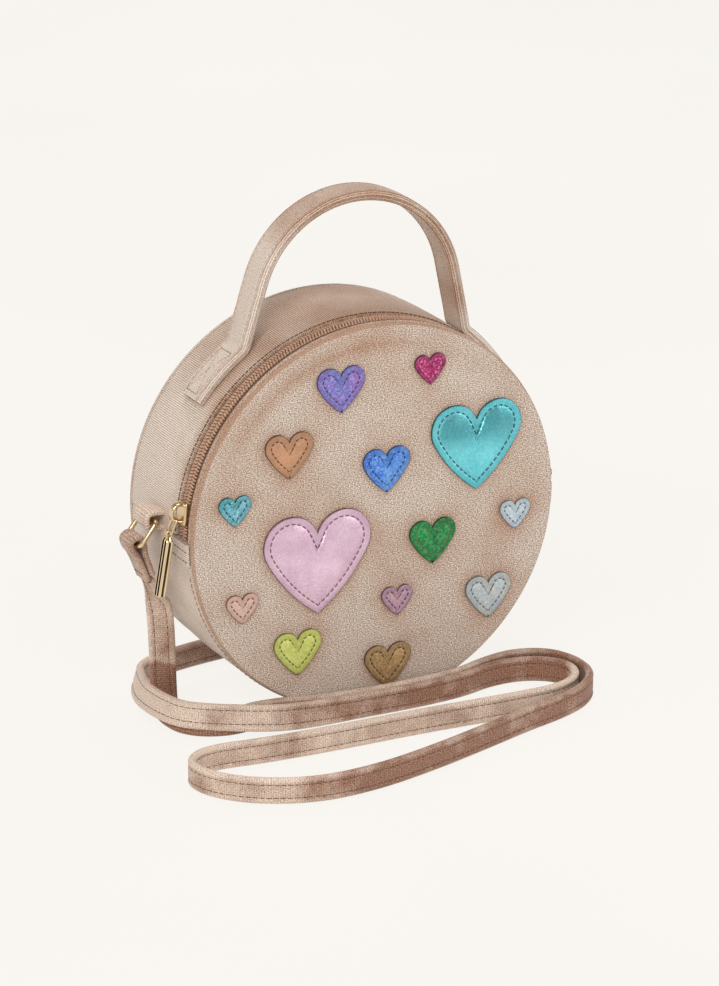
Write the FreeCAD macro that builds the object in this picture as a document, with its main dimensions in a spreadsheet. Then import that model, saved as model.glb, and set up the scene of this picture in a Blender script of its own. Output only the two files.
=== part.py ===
import FreeCAD, Part
import math
import os
import re
import Sketcher

# A round velvet purse, 180 mm across, with heart patches on its front.
# X is to the right of someone facing the front, -Y is the front, +Z is up.
# The origin is on the floor under the middle of the bag. Sizes are millimetres and degrees.
# Angles round the bag are counted from its right side, over the top, to its left side.

Vector = FreeCAD.Vector
AROUND = Vector(0, 1, 0)

SIZES = {
    # The shell: two flat panels and a band round their edge
    "bag_radius": 90,
    "bag_depth": 68,
    "foot_flat": 0.8,
    "panel_thickness": 2.5,
    "panel_edge_round": 2.2,
    "gusset_thickness": 1.8,
    "board_thickness": 1.2,
    "lining_thickness": 0.8,
    "layer_gap": 0.3,
    "binding_width": 4.5,
    "binding_thickness": 2.5,
    "fold_rise": 1.6,
    "fold_gap": 0.4,
    # The zip, which runs over the top from the left side to the right side
    "zip_setback": 11.8,
    "zip_opening": 11,
    "zip_end_angle": 1,
    "seam_angle": 0.25,
    "fixed_chain_angle": 12.5,
    "tape_width": 8.2,
    "tape_thickness": 0.6,
    "chain_gap": 1.2,
    "tooth_row_width": 2.4,
    "tooth_height": 1.7,
    "tooth_pitch": 2,
    "tooth_slot": 1,
    "tooth_depth": 1.2,
    "end_tab_width": 15,
    "end_tab_length": 10,
    "end_tab_thickness": 1,
    # The slider and its pull
    "slider_angle": 8.8,
    "slider_length": 10,
    "slider_plate": 1,
    "slider_clearance": 0.4,
    "slider_neck": 0.5,
    "slider_neck_length": 3,
    "bridge_width": 2.6,
    "bridge_length": 9,
    "bridge_height": 5.4,
    "bridge_wire": 1.2,
    "bridge_slope": 1.2,
    "link_wire": 1.1,
    "link_inner_width": 3.4,
    "link_length": 7.5,
    "link_lean": 25,
    "pull_length": 31,
    "pull_width": 5,
    "pull_depth": 3.2,
    "pull_eye_length": 4,
    "pull_eye_width": 2.6,
    "pull_groove": 0.7,
    "pull_lean": 10,
    # The handle
    "handle_width": 17.5,
    "handle_layer": 2.4,
    "handle_leg_length": 27.2,
    "handle_leg_lean": 14.5,
    "handle_sink": 0.5,
    "handle_turn": 3,
    "foot_top_angle": 54,
    "foot_length": 30,
    "carry_setback": 34.5,
    # The strap, its tabs and its rings
    "tab_width": 13,
    "tab_cloth": 1.6,
    "tab_reach": 4.8,
    "tab_rise": 5.3,
    "ring_wire": 2.2,
    "ring_clearance": 0.5,
    "ring_inner_width": 13.4,
    "ring_bar_spacing": 13,
    "ring_angle": 38,
    "strap_width": 12,
    "strap_thickness": 3,
    "strap_fold_cloth": 1.8,
    "strap_tail_length": 18,
    "strap_tail_lean": 20,
    # The patches
    "heart_thickness": 1.5,
    "heart_border": 1.8,
    "heart_puff": 0.5,
    "heart_small": 15.6,
    "heart_medium": 23.4,
    "heart_large": 45.6,
    "heart_extra": 52.6,
}

# Places that follow from the sizes above
DERIVED = {
    "centre_height": "bag_radius - foot_flat",
    "heart_stand": "heart_thickness + layer_gap",
    "front_face": "(heart_stand - bag_depth) / 2",
    "back_face": "(heart_stand + bag_depth) / 2",
    "panel_shoulder": "bag_radius - panel_edge_round",
    "front_panel_inside": "front_face + panel_thickness",
    "front_seam": "front_panel_inside + layer_gap",
    "front_board_inside": "front_seam + board_thickness",
    "front_lining_face": "front_board_inside + layer_gap",
    "front_lining_inside": "front_lining_face + lining_thickness",
    "front_binding_face": "front_lining_inside + layer_gap",
    "front_binding_inside": "front_binding_face + binding_thickness",
    "back_panel_inside": "back_face - panel_thickness",
    "back_seam": "back_panel_inside - layer_gap",
    "back_board_inside": "back_seam - board_thickness",
    "back_lining_face": "back_board_inside - layer_gap",
    "back_lining_inside": "back_lining_face - lining_thickness",
    "back_binding_face": "back_lining_inside - layer_gap",
    "back_binding_inside": "back_binding_face - binding_thickness",
    "gusset_inside": "bag_radius - gusset_thickness",
    "board_outside": "gusset_inside - layer_gap",
    "board_inside": "board_outside - board_thickness",
    "lining_outside": "board_inside - layer_gap",
    "lining_inside": "lining_outside - lining_thickness",
    "disc_radius": "lining_inside - layer_gap",
    "binding_inside": "disc_radius - binding_width",
    "zip_side_angle": "zip_end_angle + seam_angle",
    "zip_middle": "front_face + zip_setback",
    "zip_front_edge": "zip_middle - zip_opening / 2",
    "zip_rear_edge": "zip_middle + zip_opening / 2",
    "tape_inside": "board_outside - tape_thickness",
    "chain_front": "zip_middle - chain_gap / 2",
    "chain_rear": "zip_middle + chain_gap / 2",
    "tape_front": "chain_front - tape_width",
    "tape_rear": "chain_rear + tape_width",
    "rear_board_front": "tape_rear + layer_gap",
    "end_tab_inside": "bag_radius + layer_gap",
    "end_tab_outside": "end_tab_inside + end_tab_thickness",
    "end_tab_front": "zip_middle - end_tab_width / 2",
    "end_tab_rear": "zip_middle + end_tab_width / 2",
    "end_tab_angle": "end_tab_length / bag_radius * 180 / pi",
    "tooth_inside": "board_outside + layer_gap",
    "tooth_outside": "board_outside + tooth_height",
    "slider_sweep": "slider_length / bag_radius * 180 / pi",
    "neck_sweep": "slider_neck_length / bag_radius * 180 / pi",
    "plate_inside": "tooth_outside + slider_clearance",
    "plate_outside": "plate_inside + slider_plate",
    "flange_inside": "chain_gap / 2 + tooth_row_width + slider_clearance",
    "flange_outside": "flange_inside + slider_plate",
    "flange_bottom": "board_outside + slider_clearance",
    "sole_outside": "tape_inside - slider_clearance",
    "sole_inside": "sole_outside - slider_plate",
    "bridge_root": "plate_outside - slider_plate / 2",
    "bridge_top": "plate_outside + bridge_height",
    "window_top": "bridge_top - bridge_wire",
    "bridge_half": "bridge_length / 2",
    "window_half": "bridge_half - bridge_wire",
    "link_hang": "window_half - link_wire / 2 - slider_clearance",
    "link_radius": "window_top - link_wire - 2 * slider_clearance",
    "link_x": "-link_radius * cos(slider_angle) - link_hang * sin(slider_angle)",
    "link_z": "centre_height + link_radius * sin(slider_angle) - link_hang * cos(slider_angle)",
    "pull_x": "link_x - link_length * sin(link_lean)",
    "pull_z": "link_z - link_length * cos(link_lean)",
    "carry_middle": "front_face + carry_setback",
    "handle_front": "carry_middle - handle_width / 2",
    "handle_rear": "carry_middle + handle_width / 2",
    "foot_inside": "bag_radius + layer_gap",
    "foot_outside": "foot_inside + 2 * handle_layer",
    "foot_sweep": "foot_length / bag_radius * 180 / pi",
    "handle_half_span": "(bag_radius + handle_layer) * cos(foot_top_angle)",
    "handle_radius": "(handle_half_span - handle_leg_length * sin(handle_leg_lean)) / cos(handle_leg_lean)",
    "leg_end_height": "sqrt(foot_outside ^ 2 - handle_half_span ^ 2) - handle_sink",
    "leg_rise": "handle_leg_length * cos(handle_leg_lean) - handle_radius * sin(handle_leg_lean)",
    "handle_arch_height": "leg_end_height + leg_rise",
    "tab_hole": "ring_wire / 2 + ring_clearance",
    "tab_outside": "tab_hole + tab_cloth",
    "tab_height": "centre_height + tab_rise",
    "tab_middle": "bag_radius + tab_reach",
    "fold_outside": "tab_hole + strap_fold_cloth",
    "strap_end_middle": "tab_middle + ring_bar_spacing * sin(ring_angle)",
    "strap_end_height": "tab_height - ring_bar_spacing * cos(ring_angle)",
}

doc = FreeCAD.newDocument("purse")
sheet = doc.addObject("Spreadsheet::Sheet", "Sizes")
working = doc.addObject("Spreadsheet::Sheet", "Working")
pieces = []


def fill_sheet():
    rows = [(name, str(value)) for name, value in SIZES.items()]
    rows += [(name, "=" + formula) for name, formula in DERIVED.items()]
    for row, (name, text) in enumerate(rows, start=1):
        sheet.set(f"A{row}", name)
        sheet.set(f"B{row}", text)
        sheet.setAlias(f"B{row}", name)
    doc.recompute()


def measure(formula):
    """The number that a formula on the sheet's names comes to, worked out on a sheet of its own."""
    working.set("A1", "=" + on_sheet(formula))
    working.recompute()
    return float(working.get("A1"))


def on_sheet(formula):
    """The same formula as an expression for an object. Every name on the sheet has an underscore."""
    return re.sub(r"\b([a-z]+(?:_[a-z]+)+)\b", r"Sizes.\1", formula)


def bind(item, target, formula):
    item.setExpression(target, on_sheet(formula))


def keep(piece, label):
    piece.Label = label
    pieces.append(piece)
    return piece


def new_body(label):
    return keep(doc.addObject("PartDesign::Body", label), label)


def new_sketch(body, plane):
    sketch = body.newObject("Sketcher::SketchObject", body.Name + "_sketch")
    support = [feature for feature in body.Origin.OriginFeatures if feature.Role == plane]
    sketch.AttachmentSupport = [(support[0], "")]
    sketch.MapMode = "FlatFace"
    return sketch


def fix(sketch, kind, *where):
    sketch.addConstraint(Sketcher.Constraint(kind, *where))


def drive(sketch, kind, *where, by):
    """A constraint whose value is a formula. Nought puts the point on the axis itself."""
    if by == "0":
        fix(sketch, "PointOnObject", *where, -2 if kind == "DistanceX" else -1)
        return
    index = sketch.addConstraint(Sketcher.Constraint(kind, *where, measure(by)))
    bind(sketch, f"Constraints[{index}]", by)


def outline(sketch, corners):
    """A closed outline of straight lines. Each corner is two formulas, across and along."""
    first = sketch.GeometryCount
    count = len(corners)
    places = [Vector(measure(across), measure(along), 0) for across, along in corners]
    for i in range(count):
        sketch.addGeometry(Part.LineSegment(places[i], places[(i + 1) % count]))
    for i, (across, along) in enumerate(corners):
        fix(sketch, "Coincident", first + i, 2, first + (i + 1) % count, 1)
        drive(sketch, "DistanceX", first + i, 1, by=across)
        drive(sketch, "DistanceY", first + i, 1, by=along)


def rectangle(sketch, left, right, low, high):
    outline(sketch, [(left, low), (right, low), (right, high), (left, high)])


def circle(sketch, radius):
    sketch.addGeometry(Part.Circle(Vector(0, 0, 0), Vector(0, 0, 1), measure(radius)))
    fix(sketch, "Coincident", 0, 3, -1, 1)
    drive(sketch, "Radius", 0, by=radius)


def revolve(body, sketch, sweep, both_ways=False):
    turned = body.newObject("PartDesign::Revolution", body.Name + "_turned")
    turned.Profile = sketch
    turned.ReferenceAxis = (sketch, ["V_Axis"])
    turned.Midplane = both_ways
    bind(turned, "Angle", sweep)


def pad(body, sketch, length, both_ways=False, reversed_way=False):
    raised = body.newObject("PartDesign::Pad", body.Name + "_pad")
    raised.Profile = sketch
    raised.SideType = "Symmetric" if both_ways else "One side"
    raised.Reversed = reversed_way
    bind(raised, "Length", length)
    return raised


def pocket_through(body, sketch):
    cut = body.newObject("PartDesign::Pocket", body.Name + "_pocket")
    cut.Profile = sketch
    cut.Type = "ThroughAll"
    cut.SideType = "Symmetric"


def place(body, x, y, z, turn):
    """Puts a body in place, turned about the bag's axis. All four are formulas."""
    body.Placement = FreeCAD.Placement(Vector(0, 0, 0), FreeCAD.Rotation(AROUND, 1))
    bind(body, "Placement.Base.x", x)
    bind(body, "Placement.Base.y", y)
    bind(body, "Placement.Base.z", z)
    bind(body, "Placement.Rotation.Angle", turn)


def band(label, inside, outside, front, back, start, sweep):
    """A stretch of a ring round the bag's axis, from the start angle back towards the right."""
    body = new_body(label)
    sketch = new_sketch(body, "XY_Plane")
    rectangle(sketch, inside, outside, front, back)
    revolve(body, sketch, sweep)
    place(body, "0", "0", "centre_height", f"-({start})")
    return body


def cut_away(body, low, high, turn="0"):
    """Cuts away all of a body between two heights above the bag's middle."""
    sketch = new_sketch(body, "XZ_Plane")
    rectangle(sketch, "-1.2 * bag_radius", "1.2 * bag_radius", low, high)
    sketch.AttachmentOffset = FreeCAD.Placement(Vector(0, 0, 0), FreeCAD.Rotation(Vector(0, 0, 1), 1))
    bind(sketch, "AttachmentOffset.Rotation.Angle", turn)
    pocket_through(body, sketch)


def flatten_foot(body, turn="0"):
    """The bag's weight presses a narrow flat under it, which it stands on."""
    cut_away(body, "-1.2 * bag_radius", "-centre_height", turn)


def trim_at_fold(body, part):
    """Keeps what is above or below the fold across the front."""
    if part == "upper":
        cut_away(body, "-1.2 * bag_radius", "fold_rise + fold_gap / 2")
    if part == "lower":
        cut_away(body, "fold_rise - fold_gap / 2", "1.2 * bag_radius")


def panel(label, end, part=None):
    """A velvet panel: a disc whose outer edge is rounded."""
    face = f"{end}_face"
    inside = f"{end}_panel_inside"
    inwards = 1 if end == "front" else -1
    body = new_body(label)
    sketch = new_sketch(body, "XY_Plane")
    # The rounded edge is drawn as a few short flats
    rim = [(f"panel_shoulder + panel_edge_round * sin({turn})",
            f"{face} + {inwards} * panel_edge_round * (1 - cos({turn}))") for turn in (0, 30, 60, 90)]
    outline(sketch, [("0", face)] + rim + [("bag_radius", inside), ("0", inside)])
    revolve(body, sketch, "360")
    place(body, "0", "0", "centre_height", "0")
    trim_at_fold(body, part)
    flatten_foot(body)


def disc(label, face, inside, part=None):
    body = band(label, "0", "disc_radius", face, inside, "0", "360")
    trim_at_fold(body, part)


def binding(label, end, part=None):
    """The bound seam inside the bag where a panel meets the gusset."""
    face, inside = f"{end}_binding_face", f"{end}_binding_inside"
    body = band(label, "binding_inside", "disc_radius", face, inside, "0", "360")
    trim_at_fold(body, part)


def make_panels():
    panel("back_panel", "back")
    disc("back_board", "back_seam", "back_board_inside")
    disc("back_lining", "back_lining_face", "back_lining_inside")
    binding("back_binding", "back")
    for part in ("lower", "upper"):
        panel(f"front_panel_{part}", "front", part)
        disc(f"front_board_{part}", "front_seam", "front_board_inside", part)
        disc(f"front_lining_{part}", "front_lining_face", "front_lining_inside", part)
        binding(f"front_binding_{part}", "front", part)


def make_gussets():
    low = ("zip_end_angle", "180 + 2 * zip_end_angle")
    lower = band("lower_gusset", "gusset_inside", "bag_radius", "front_seam", "back_seam", *low)
    flatten_foot(lower, turn="-zip_end_angle")
    band("lower_gusset_board", "board_inside", "board_outside", "front_seam", "back_seam", *low)
    band("lower_gusset_lining", "lining_inside", "lining_outside", "front_seam", "back_seam", *low)
    high = ("180 - zip_side_angle", "180 - 2 * zip_side_angle")
    band("rear_zip_gusset", "gusset_inside", "bag_radius", "zip_rear_edge", "back_seam", *high)
    band("rear_zip_board", "board_inside", "board_outside", "rear_board_front", "back_seam", *high)
    band("rear_zip_lining", "lining_inside", "lining_outside", "rear_board_front", "back_seam", *high)
    band("front_zip_gusset", "gusset_inside", "bag_radius", "front_seam", "zip_front_edge", *high)


def make_tooth_row(label, side, start, end):
    """One row of the zip's teeth, as a strip round the bag with slots between its teeth."""
    inside = measure("tooth_inside")
    outside = measure("tooth_outside")
    tips = measure("chain_rear") if side == "rear" else measure("chain_front")
    away = 1 if side == "rear" else -1
    root = tips + away * measure("tooth_row_width")
    corners = [Vector(r, y, 0) for r, y in ((inside, tips), (outside, tips), (outside, root), (inside, root))]
    section = Part.Face(Part.makePolygon(corners + corners[:1]))
    section.rotate(Vector(), AROUND, -start)
    strip = section.revolve(Vector(), AROUND, start - end)
    step = math.degrees(measure("tooth_pitch / tooth_outside"))
    # The teeth of one row stand opposite the slots of the other
    phase = 0.25 if side == "rear" else 0.75
    slot_width = measure("tooth_slot")
    depth = measure("tooth_depth")
    slots = []
    for i in range(int((start - end) / step)):
        corner = Vector(inside - 1, min(tips, tips + away * depth) - (1 if away > 0 else 0), -slot_width / 2)
        slot = Part.makeBox(outside - inside + 2, depth + 1, slot_width, corner)
        slot.rotate(Vector(), AROUND, (i + phase) * step - start)
        slots.append(slot)
    row = keep(doc.addObject("Part::Feature", label), label)
    row.Shape = strip.cut(Part.makeCompound(slots))
    row.Placement = FreeCAD.Placement(Vector(0, 0, measure("centre_height")), FreeCAD.Rotation())


def make_zip():
    rear_tape = ("tape_inside", "board_outside", "chain_rear", "tape_rear")
    front_tape = ("tape_inside", "board_outside", "tape_front", "chain_front")
    end_sweep = "fixed_chain_angle - zip_side_angle"
    moving = "(fixed_chain_angle + seam_angle)"
    band("zip_tape_rear", *rear_tape, "180 - zip_side_angle", "180 - 2 * zip_side_angle")
    band("zip_tape_front", *front_tape, f"180 - {moving}", f"180 - 2 * {moving}")
    # The last stretch at each end stays with the bag, where the slider can stand
    band("zip_tape_end_left", *front_tape, "180 - zip_side_angle", end_sweep)
    band("zip_tape_end_right", *front_tape, "fixed_chain_angle", end_sweep)
    low = measure("zip_side_angle")
    high = measure("fixed_chain_angle")
    loose = measure(moving)
    make_tooth_row("zip_teeth_rear", "rear", 180 - low, low)
    make_tooth_row("zip_teeth_front", "front", 180 - loose, loose)
    make_tooth_row("zip_teeth_end_left", "front", 180 - low, 180 - high)
    make_tooth_row("zip_teeth_end_right", "front", high, low)
    tab = ("end_tab_inside", "end_tab_outside", "end_tab_front", "end_tab_rear")
    band("zip_end_tab_left", *tab, "180 - zip_end_angle + end_tab_angle", "end_tab_angle")
    band("zip_end_tab_right", *tab, "zip_end_angle", "end_tab_angle")


def make_slider():
    """Two plates either side of the chain, joined by a thin neck between the tooth rows, and a bridge."""
    body = new_body("slider")
    plate = new_sketch(body, "XY_Plane")
    outline(plate, [
        ("flange_bottom", "-flange_outside"), ("plate_outside", "-flange_outside"),
        ("plate_outside", "flange_outside"), ("flange_bottom", "flange_outside"),
        ("flange_bottom", "flange_inside"), ("plate_inside", "flange_inside"),
        ("plate_inside", "-flange_inside"), ("flange_bottom", "-flange_inside"),
    ])
    revolve(body, plate, "slider_sweep", both_ways=True)
    neck = new_sketch(body, "XY_Plane")
    rectangle(neck, "sole_inside", "plate_outside", "-slider_neck / 2", "slider_neck / 2")
    revolve(body, neck, "neck_sweep", both_ways=True)
    sole = new_sketch(body, "XY_Plane")
    rectangle(sole, "sole_inside", "sole_outside", "-flange_inside", "flange_inside")
    revolve(body, sole, "slider_sweep", both_ways=True)
    bridge = new_sketch(body, "XZ_Plane")
    outline(bridge, arch("bridge_top", "bridge_half") + arch("window_top", "window_half")[::-1])
    pad(body, bridge, "bridge_width", both_ways=True)
    place(body, "0", "zip_middle", "centre_height", "slider_angle - 180")


def arch(top, half):
    """The corners of the slider's bridge, or of the window under it, from one end to the other."""
    shoulder = f"{top} - bridge_slope"
    near = f"{half} - bridge_slope"
    return [("bridge_root", f"-({half})"), (shoulder, f"-({half})"), (top, f"-({near})"),
            (top, near), (shoulder, half), ("bridge_root", half)]


def loop_frame(label, wire, inner_width, spacing):
    """A rectangular loop of wire, two bars across and two along, with its first bar at the origin."""
    body = new_body(label)
    sketch = new_sketch(body, "XY_Plane")
    side = f"({inner_width} / 2 + {wire})"
    rectangle(sketch, f"-{wire} / 2", f"{spacing} + {wire} / 2", f"-{side}", side)
    rectangle(sketch, f"{wire} / 2", f"{spacing} - {wire} / 2", f"-{inner_width} / 2", f"{inner_width} / 2")
    frame = pad(body, sketch, wire, both_ways=True)
    doc.recompute()
    chamfer = body.newObject("PartDesign::Chamfer", label + "_chamfer")
    chamfer.Base = (frame, [f"Edge{i + 1}" for i in range(len(frame.Shape.Edges))])
    bind(chamfer, "Size", f"0.28 * {wire}")
    return body


def make_pull():
    link = loop_frame("pull_link", "link_wire", "link_inner_width", "link_length")
    place(link, "link_x", "zip_middle", "link_z", "90 + link_lean")
    bar = new_body("pull_bar")
    shaft = new_sketch(bar, "XY_Plane")
    edge = [("1", "-pull_width / 2"), ("1", "-pull_groove"), ("groove", "0"), ("1", "pull_groove"),
            ("1", "pull_width / 2")]
    right = [("pull_depth / 2 - pull_groove" if x == "groove" else "pull_depth / 2", y) for x, y in edge]
    left = [(f"-({x})", y) for x, y in right]
    outline(shaft, right + left[::-1])
    bind(shaft, "AttachmentOffset.Base.z", "-pull_eye_length")
    pad(bar, shaft, "pull_length - pull_eye_length", reversed_way=True)
    eye = new_sketch(bar, "XY_Plane")
    rectangle(eye, "-pull_depth / 2", "pull_depth / 2", "-pull_eye_width / 2", "pull_eye_width / 2")
    bind(eye, "AttachmentOffset.Base.z", "1.4 * link_wire")
    pad(bar, eye, "1.5 * link_wire + pull_eye_length", reversed_way=True)
    hole = new_sketch(bar, "XZ_Plane")
    circle(hole, "0.9 * link_wire")
    pocket_through(bar, hole)
    place(bar, "pull_x", "zip_middle", "pull_z", "pull_lean")


def make_handle():
    handle_layer("handle_upper_layer", "(handle_radius + layer_gap / 2)", "(handle_radius + handle_layer)")
    handle_layer("handle_under_layer", "(handle_radius - handle_layer)", "(handle_radius - layer_gap / 2)")
    foot = ("foot_inside", "foot_outside", "handle_front", "handle_rear")
    band("handle_foot_left", *foot, "180 - foot_top_angle + foot_sweep - handle_turn", "foot_sweep")
    band("handle_foot_right", *foot, "foot_top_angle - handle_turn", "foot_sweep")


def handle_layer(label, inside, outside):
    """One layer of the handle: two straight legs and a round top, with rounded lower ends."""
    body = new_body(label)
    sketch = new_sketch(body, "XZ_Plane")
    middle = Vector(0, measure("handle_arch_height"), 0)
    lean = math.radians(measure("handle_leg_lean"))
    corners = []
    for radius in (outside, inside):
        top = (f"{radius} * cos(handle_leg_lean)", f"handle_arch_height + {radius} * sin(handle_leg_lean)")
        end = (f"{top[0]} + handle_leg_length * sin(handle_leg_lean)",
               f"{top[1]} - handle_leg_length * cos(handle_leg_lean)")
        corners.append((top, end))
    (outer_top, outer_end), (inner_top, inner_end) = corners
    right = [outer_top, outer_end, inner_end, inner_top]
    for side in (1, -1):
        places = [Vector(side * measure(x), measure(z), 0) for x, z in right]
        for a, b in zip(places, places[1:]):
            sketch.addGeometry(Part.LineSegment(a, b))
    for radius in (outside, inside):
        whole = Part.Circle(middle, Vector(0, 0, 1), measure(radius))
        sketch.addGeometry(Part.ArcOfCircle(whole, lean, math.pi - lean))
    for first, sign in ((0, ""), (3, "-")):
        fix(sketch, "Coincident", first, 2, first + 1, 1)
        fix(sketch, "Coincident", first + 1, 2, first + 2, 1)
        for line, end, (x, z) in ((0, 1, outer_top), (1, 1, outer_end), (2, 1, inner_end), (2, 2, inner_top)):
            drive(sketch, "DistanceX", first + line, end, by=f"{sign}({x})")
            if first == 0 or line in (1, 2) and end == 1:
                drive(sketch, "DistanceY", first + line, end, by=z)
    for arc, right_line, left_line, end in ((6, 0, 3, 1), (7, 2, 5, 2)):
        fix(sketch, "PointOnObject", arc, 3, -2)
        drive(sketch, "DistanceY", arc, 3, by="handle_arch_height")
        fix(sketch, "Coincident", arc, 1, right_line, end)
        fix(sketch, "Coincident", arc, 2, left_line, end)
    pad(body, sketch, "handle_width", both_ways=True)
    doc.recompute()
    round_leg_ends(body)
    place(body, "0", "carry_middle", "centre_height", "handle_turn")


def round_leg_ends(body):
    """Rounds the lower end of each leg, so that the handle can tip on the bag."""
    base = body.Tip
    low = min(vertex.Z for vertex in base.Shape.Vertexes)
    corners = []
    for i, edge in enumerate(base.Shape.Edges):
        short = edge.Length < measure("handle_layer") + 0.1
        near_end = edge.CenterOfMass.z < low + measure("2 * handle_layer")
        if short and near_end:
            corners.append(f"Edge{i + 1}")
    fillet = body.newObject("PartDesign::Fillet", body.Name + "_ends")
    fillet.Base = (base, corners)
    bind(fillet, "Radius", "0.49 * handle_width")


def make_ring_side(name, side):
    """A cloth tab, its ring and the strap's end folded round the ring, on one side of the bag."""
    tab = new_body(f"strap_tab_{name}")
    root, loop = f"{-side} * (tab_reach - layer_gap)", f"{-side} * 0.1"
    cloth_loop(tab, "tab_outside", "tab_width", (root, loop, "-tab_cloth", "tab_cloth"))
    place(tab, f"{side} * tab_middle", "carry_middle", "tab_height", "0")
    ring = loop_frame(f"ring_{name}", "ring_wire", "ring_inner_width", "ring_bar_spacing")
    place(ring, f"{side} * tab_middle", "carry_middle", "tab_height", f"90 - {side} * ring_angle")
    end = new_body(f"strap_end_{name}")
    tail = ("-strap_fold_cloth", "strap_fold_cloth", "-strap_tail_length", "-0.1")
    cloth_loop(end, "fold_outside", "strap_width", tail)
    place(end, f"{side} * strap_end_middle", "carry_middle", "strap_end_height", f"{side} * strap_tail_lean")


def cloth_loop(body, radius, width, arm):
    """A strip of cloth folded round a ring's bar, with its two ends sewn flat together."""
    rim = new_sketch(body, "XZ_Plane")
    circle(rim, radius)
    pad(body, rim, width, both_ways=True)
    flat = new_sketch(body, "XZ_Plane")
    rectangle(flat, *arm)
    pad(body, flat, width, both_ways=True)
    hole = new_sketch(body, "XZ_Plane")
    circle(hole, "tab_hole")
    pocket_through(body, hole)


# The strap's way over the floor, from the foot of its left drop to the foot of its right drop.
# Across is a share of the bag's radius. Ahead is millimetres in front of the bag's front face.
FRONT_ROUTE = [
    (-0.975, -38), (-0.925, -26), (-0.78, -11.5), (-0.578, -0.5), (-0.311, 5), (0, 6.5), (0.244, 6.2),
    (0.444, 4.6), (0.6, -1), (0.8, -4.5), (0.978, 2), (1.05, 17), (1.033, 33), (0.911, 45), (0.733, 52),
    (0.522, 57), (0.244, 65.5), (-0.067, 74.5), (-0.444, 83), (-0.778, 84), (-1.044, 74), (-1.2, 60), (-1.256, 46),
    (-1.2, 36), (-1.067, 32.5), (-0.844, 35.5), (-0.522, 37.5), (-0.2, 38), (0.056, 38.5), (0.322, 40),
    (0.556, 41), (0.789, 41), (0.933, 34.5), (0.989, 23), (0.933, 12), (0.789, 5), (0.611, 5), (0.456, 9.5),
    (0.222, 11.5), (-0.033, 11), (-0.367, 9.5), (-0.578, 7), (-0.778, -0.5), (-0.933, -11.5), (-1.022, -25),
    (-1.067, -41), (-1.056, -57),
]
# Behind is millimetres behind the bag's back face
BACK_ROUTE = [(-0.956, 2), (-0.711, 9), (-0.422, 13), (-0.111, 15), (0.222, 14.5), (0.533, 10.5), (0.756, 2)]


def strap_route():
    radius = measure("bag_radius")
    height = measure("strap_width / 2")
    front = [Vector(across * radius, measure("front_face") - ahead, height) for across, ahead in FRONT_ROUTE]
    back = [Vector(across * radius, measure("back_face") + behind, height) for across, behind in BACK_ROUTE]
    return front + back


def rounded_path(points):
    """Straight runs joined by arcs, each arc as large as its two runs allow."""
    edges = []
    radii = []
    here = points[0]
    for before, corner, after in zip(points, points[1:], points[2:]):
        back = (before - corner).normalize()
        ahead = (after - corner).normalize()
        half_turn = (math.pi - back.getAngle(ahead)) / 2
        reach = 0.45 * min((before - corner).Length, (after - corner).Length)
        radius = reach / math.tan(half_turn)
        start = corner + back * reach
        end = corner + ahead * reach
        inwards = (back + ahead).normalize()
        middle = corner + inwards * (radius / math.cos(half_turn) - radius)
        edges.append(Part.LineSegment(here, start).toShape())
        edges.append(Part.Arc(start, middle, end).toShape())
        radii.append(radius)
        here = end
    edges.append(Part.LineSegment(here, points[-1]).toShape())
    return Part.Wire(edges), radii


def strap_section(middle, along, across):
    """The strap's flat section at one place on its way."""
    along = Vector(along).normalize()
    across = Vector(across) - along * along.dot(Vector(across))
    wide = across.normalize() * measure("strap_width / 2")
    thick = along.cross(across).normalize() * measure("strap_thickness / 2")
    corners = [middle + wide + thick, middle - wide + thick, middle - wide - thick, middle + wide - thick]
    return Part.makePolygon(corners + corners[:1])


def make_floor_run(route):
    path, radii = rounded_path(route)
    sweep = Part.BRepOffsetAPI.MakePipeShell(path)
    sweep.setBiNormalMode(Vector(0, 0, 1))
    sweep.add(strap_section(route[0], route[1] - route[0], Vector(0, 0, 1)))
    sweep.build()
    sweep.makeSolid()
    run = keep(doc.addObject("Part::Feature", "strap_floor_run"), "strap_floor_run")
    run.Shape = sweep.shape()
    run.Placement = FreeCAD.Placement()
    expected = measure("strap_width * strap_thickness") * path.Length
    share = run.Shape.Volume / expected
    print(f"strap on the floor {path.Length:.0f} mm, volume {share:.3f} of section by length")
    print("strap bend radii", " ".join(f"{radius:.0f}" for radius in radii))


def make_drop(label, side, foot, foot_way, bends):
    """The strap's fall from a ring to the floor, where it turns to stand on its edge."""
    lean = math.radians(measure("strap_tail_lean"))
    top_way = Vector(-side * math.sin(lean), 0, -math.cos(lean))
    ring = Vector(side * measure("strap_end_middle"), measure("carry_middle"), measure("strap_end_height"))
    top = ring + top_way * measure("strap_tail_length + layer_gap")
    fall = foot - top
    places = [(top, top_way, Vector(0, 1, 0))]
    for down, sideways, way, across in bends:
        middle = top + Vector(fall.x * sideways, fall.y * sideways, fall.z * down)
        places.append((middle, Vector(*way), Vector(*across)))
    places.append((foot - foot_way * measure("layer_gap"), foot_way, Vector(0, 0, -1)))
    drop = keep(doc.addObject("Part::Feature", label), label)
    drop.Shape = Part.makeLoft([strap_section(*section) for section in places], True, True)
    drop.Placement = FreeCAD.Placement()
    length = sum((b[0] - a[0]).Length for a, b in zip(places, places[1:]))
    print(f"{label} {length:.0f} mm")


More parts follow.
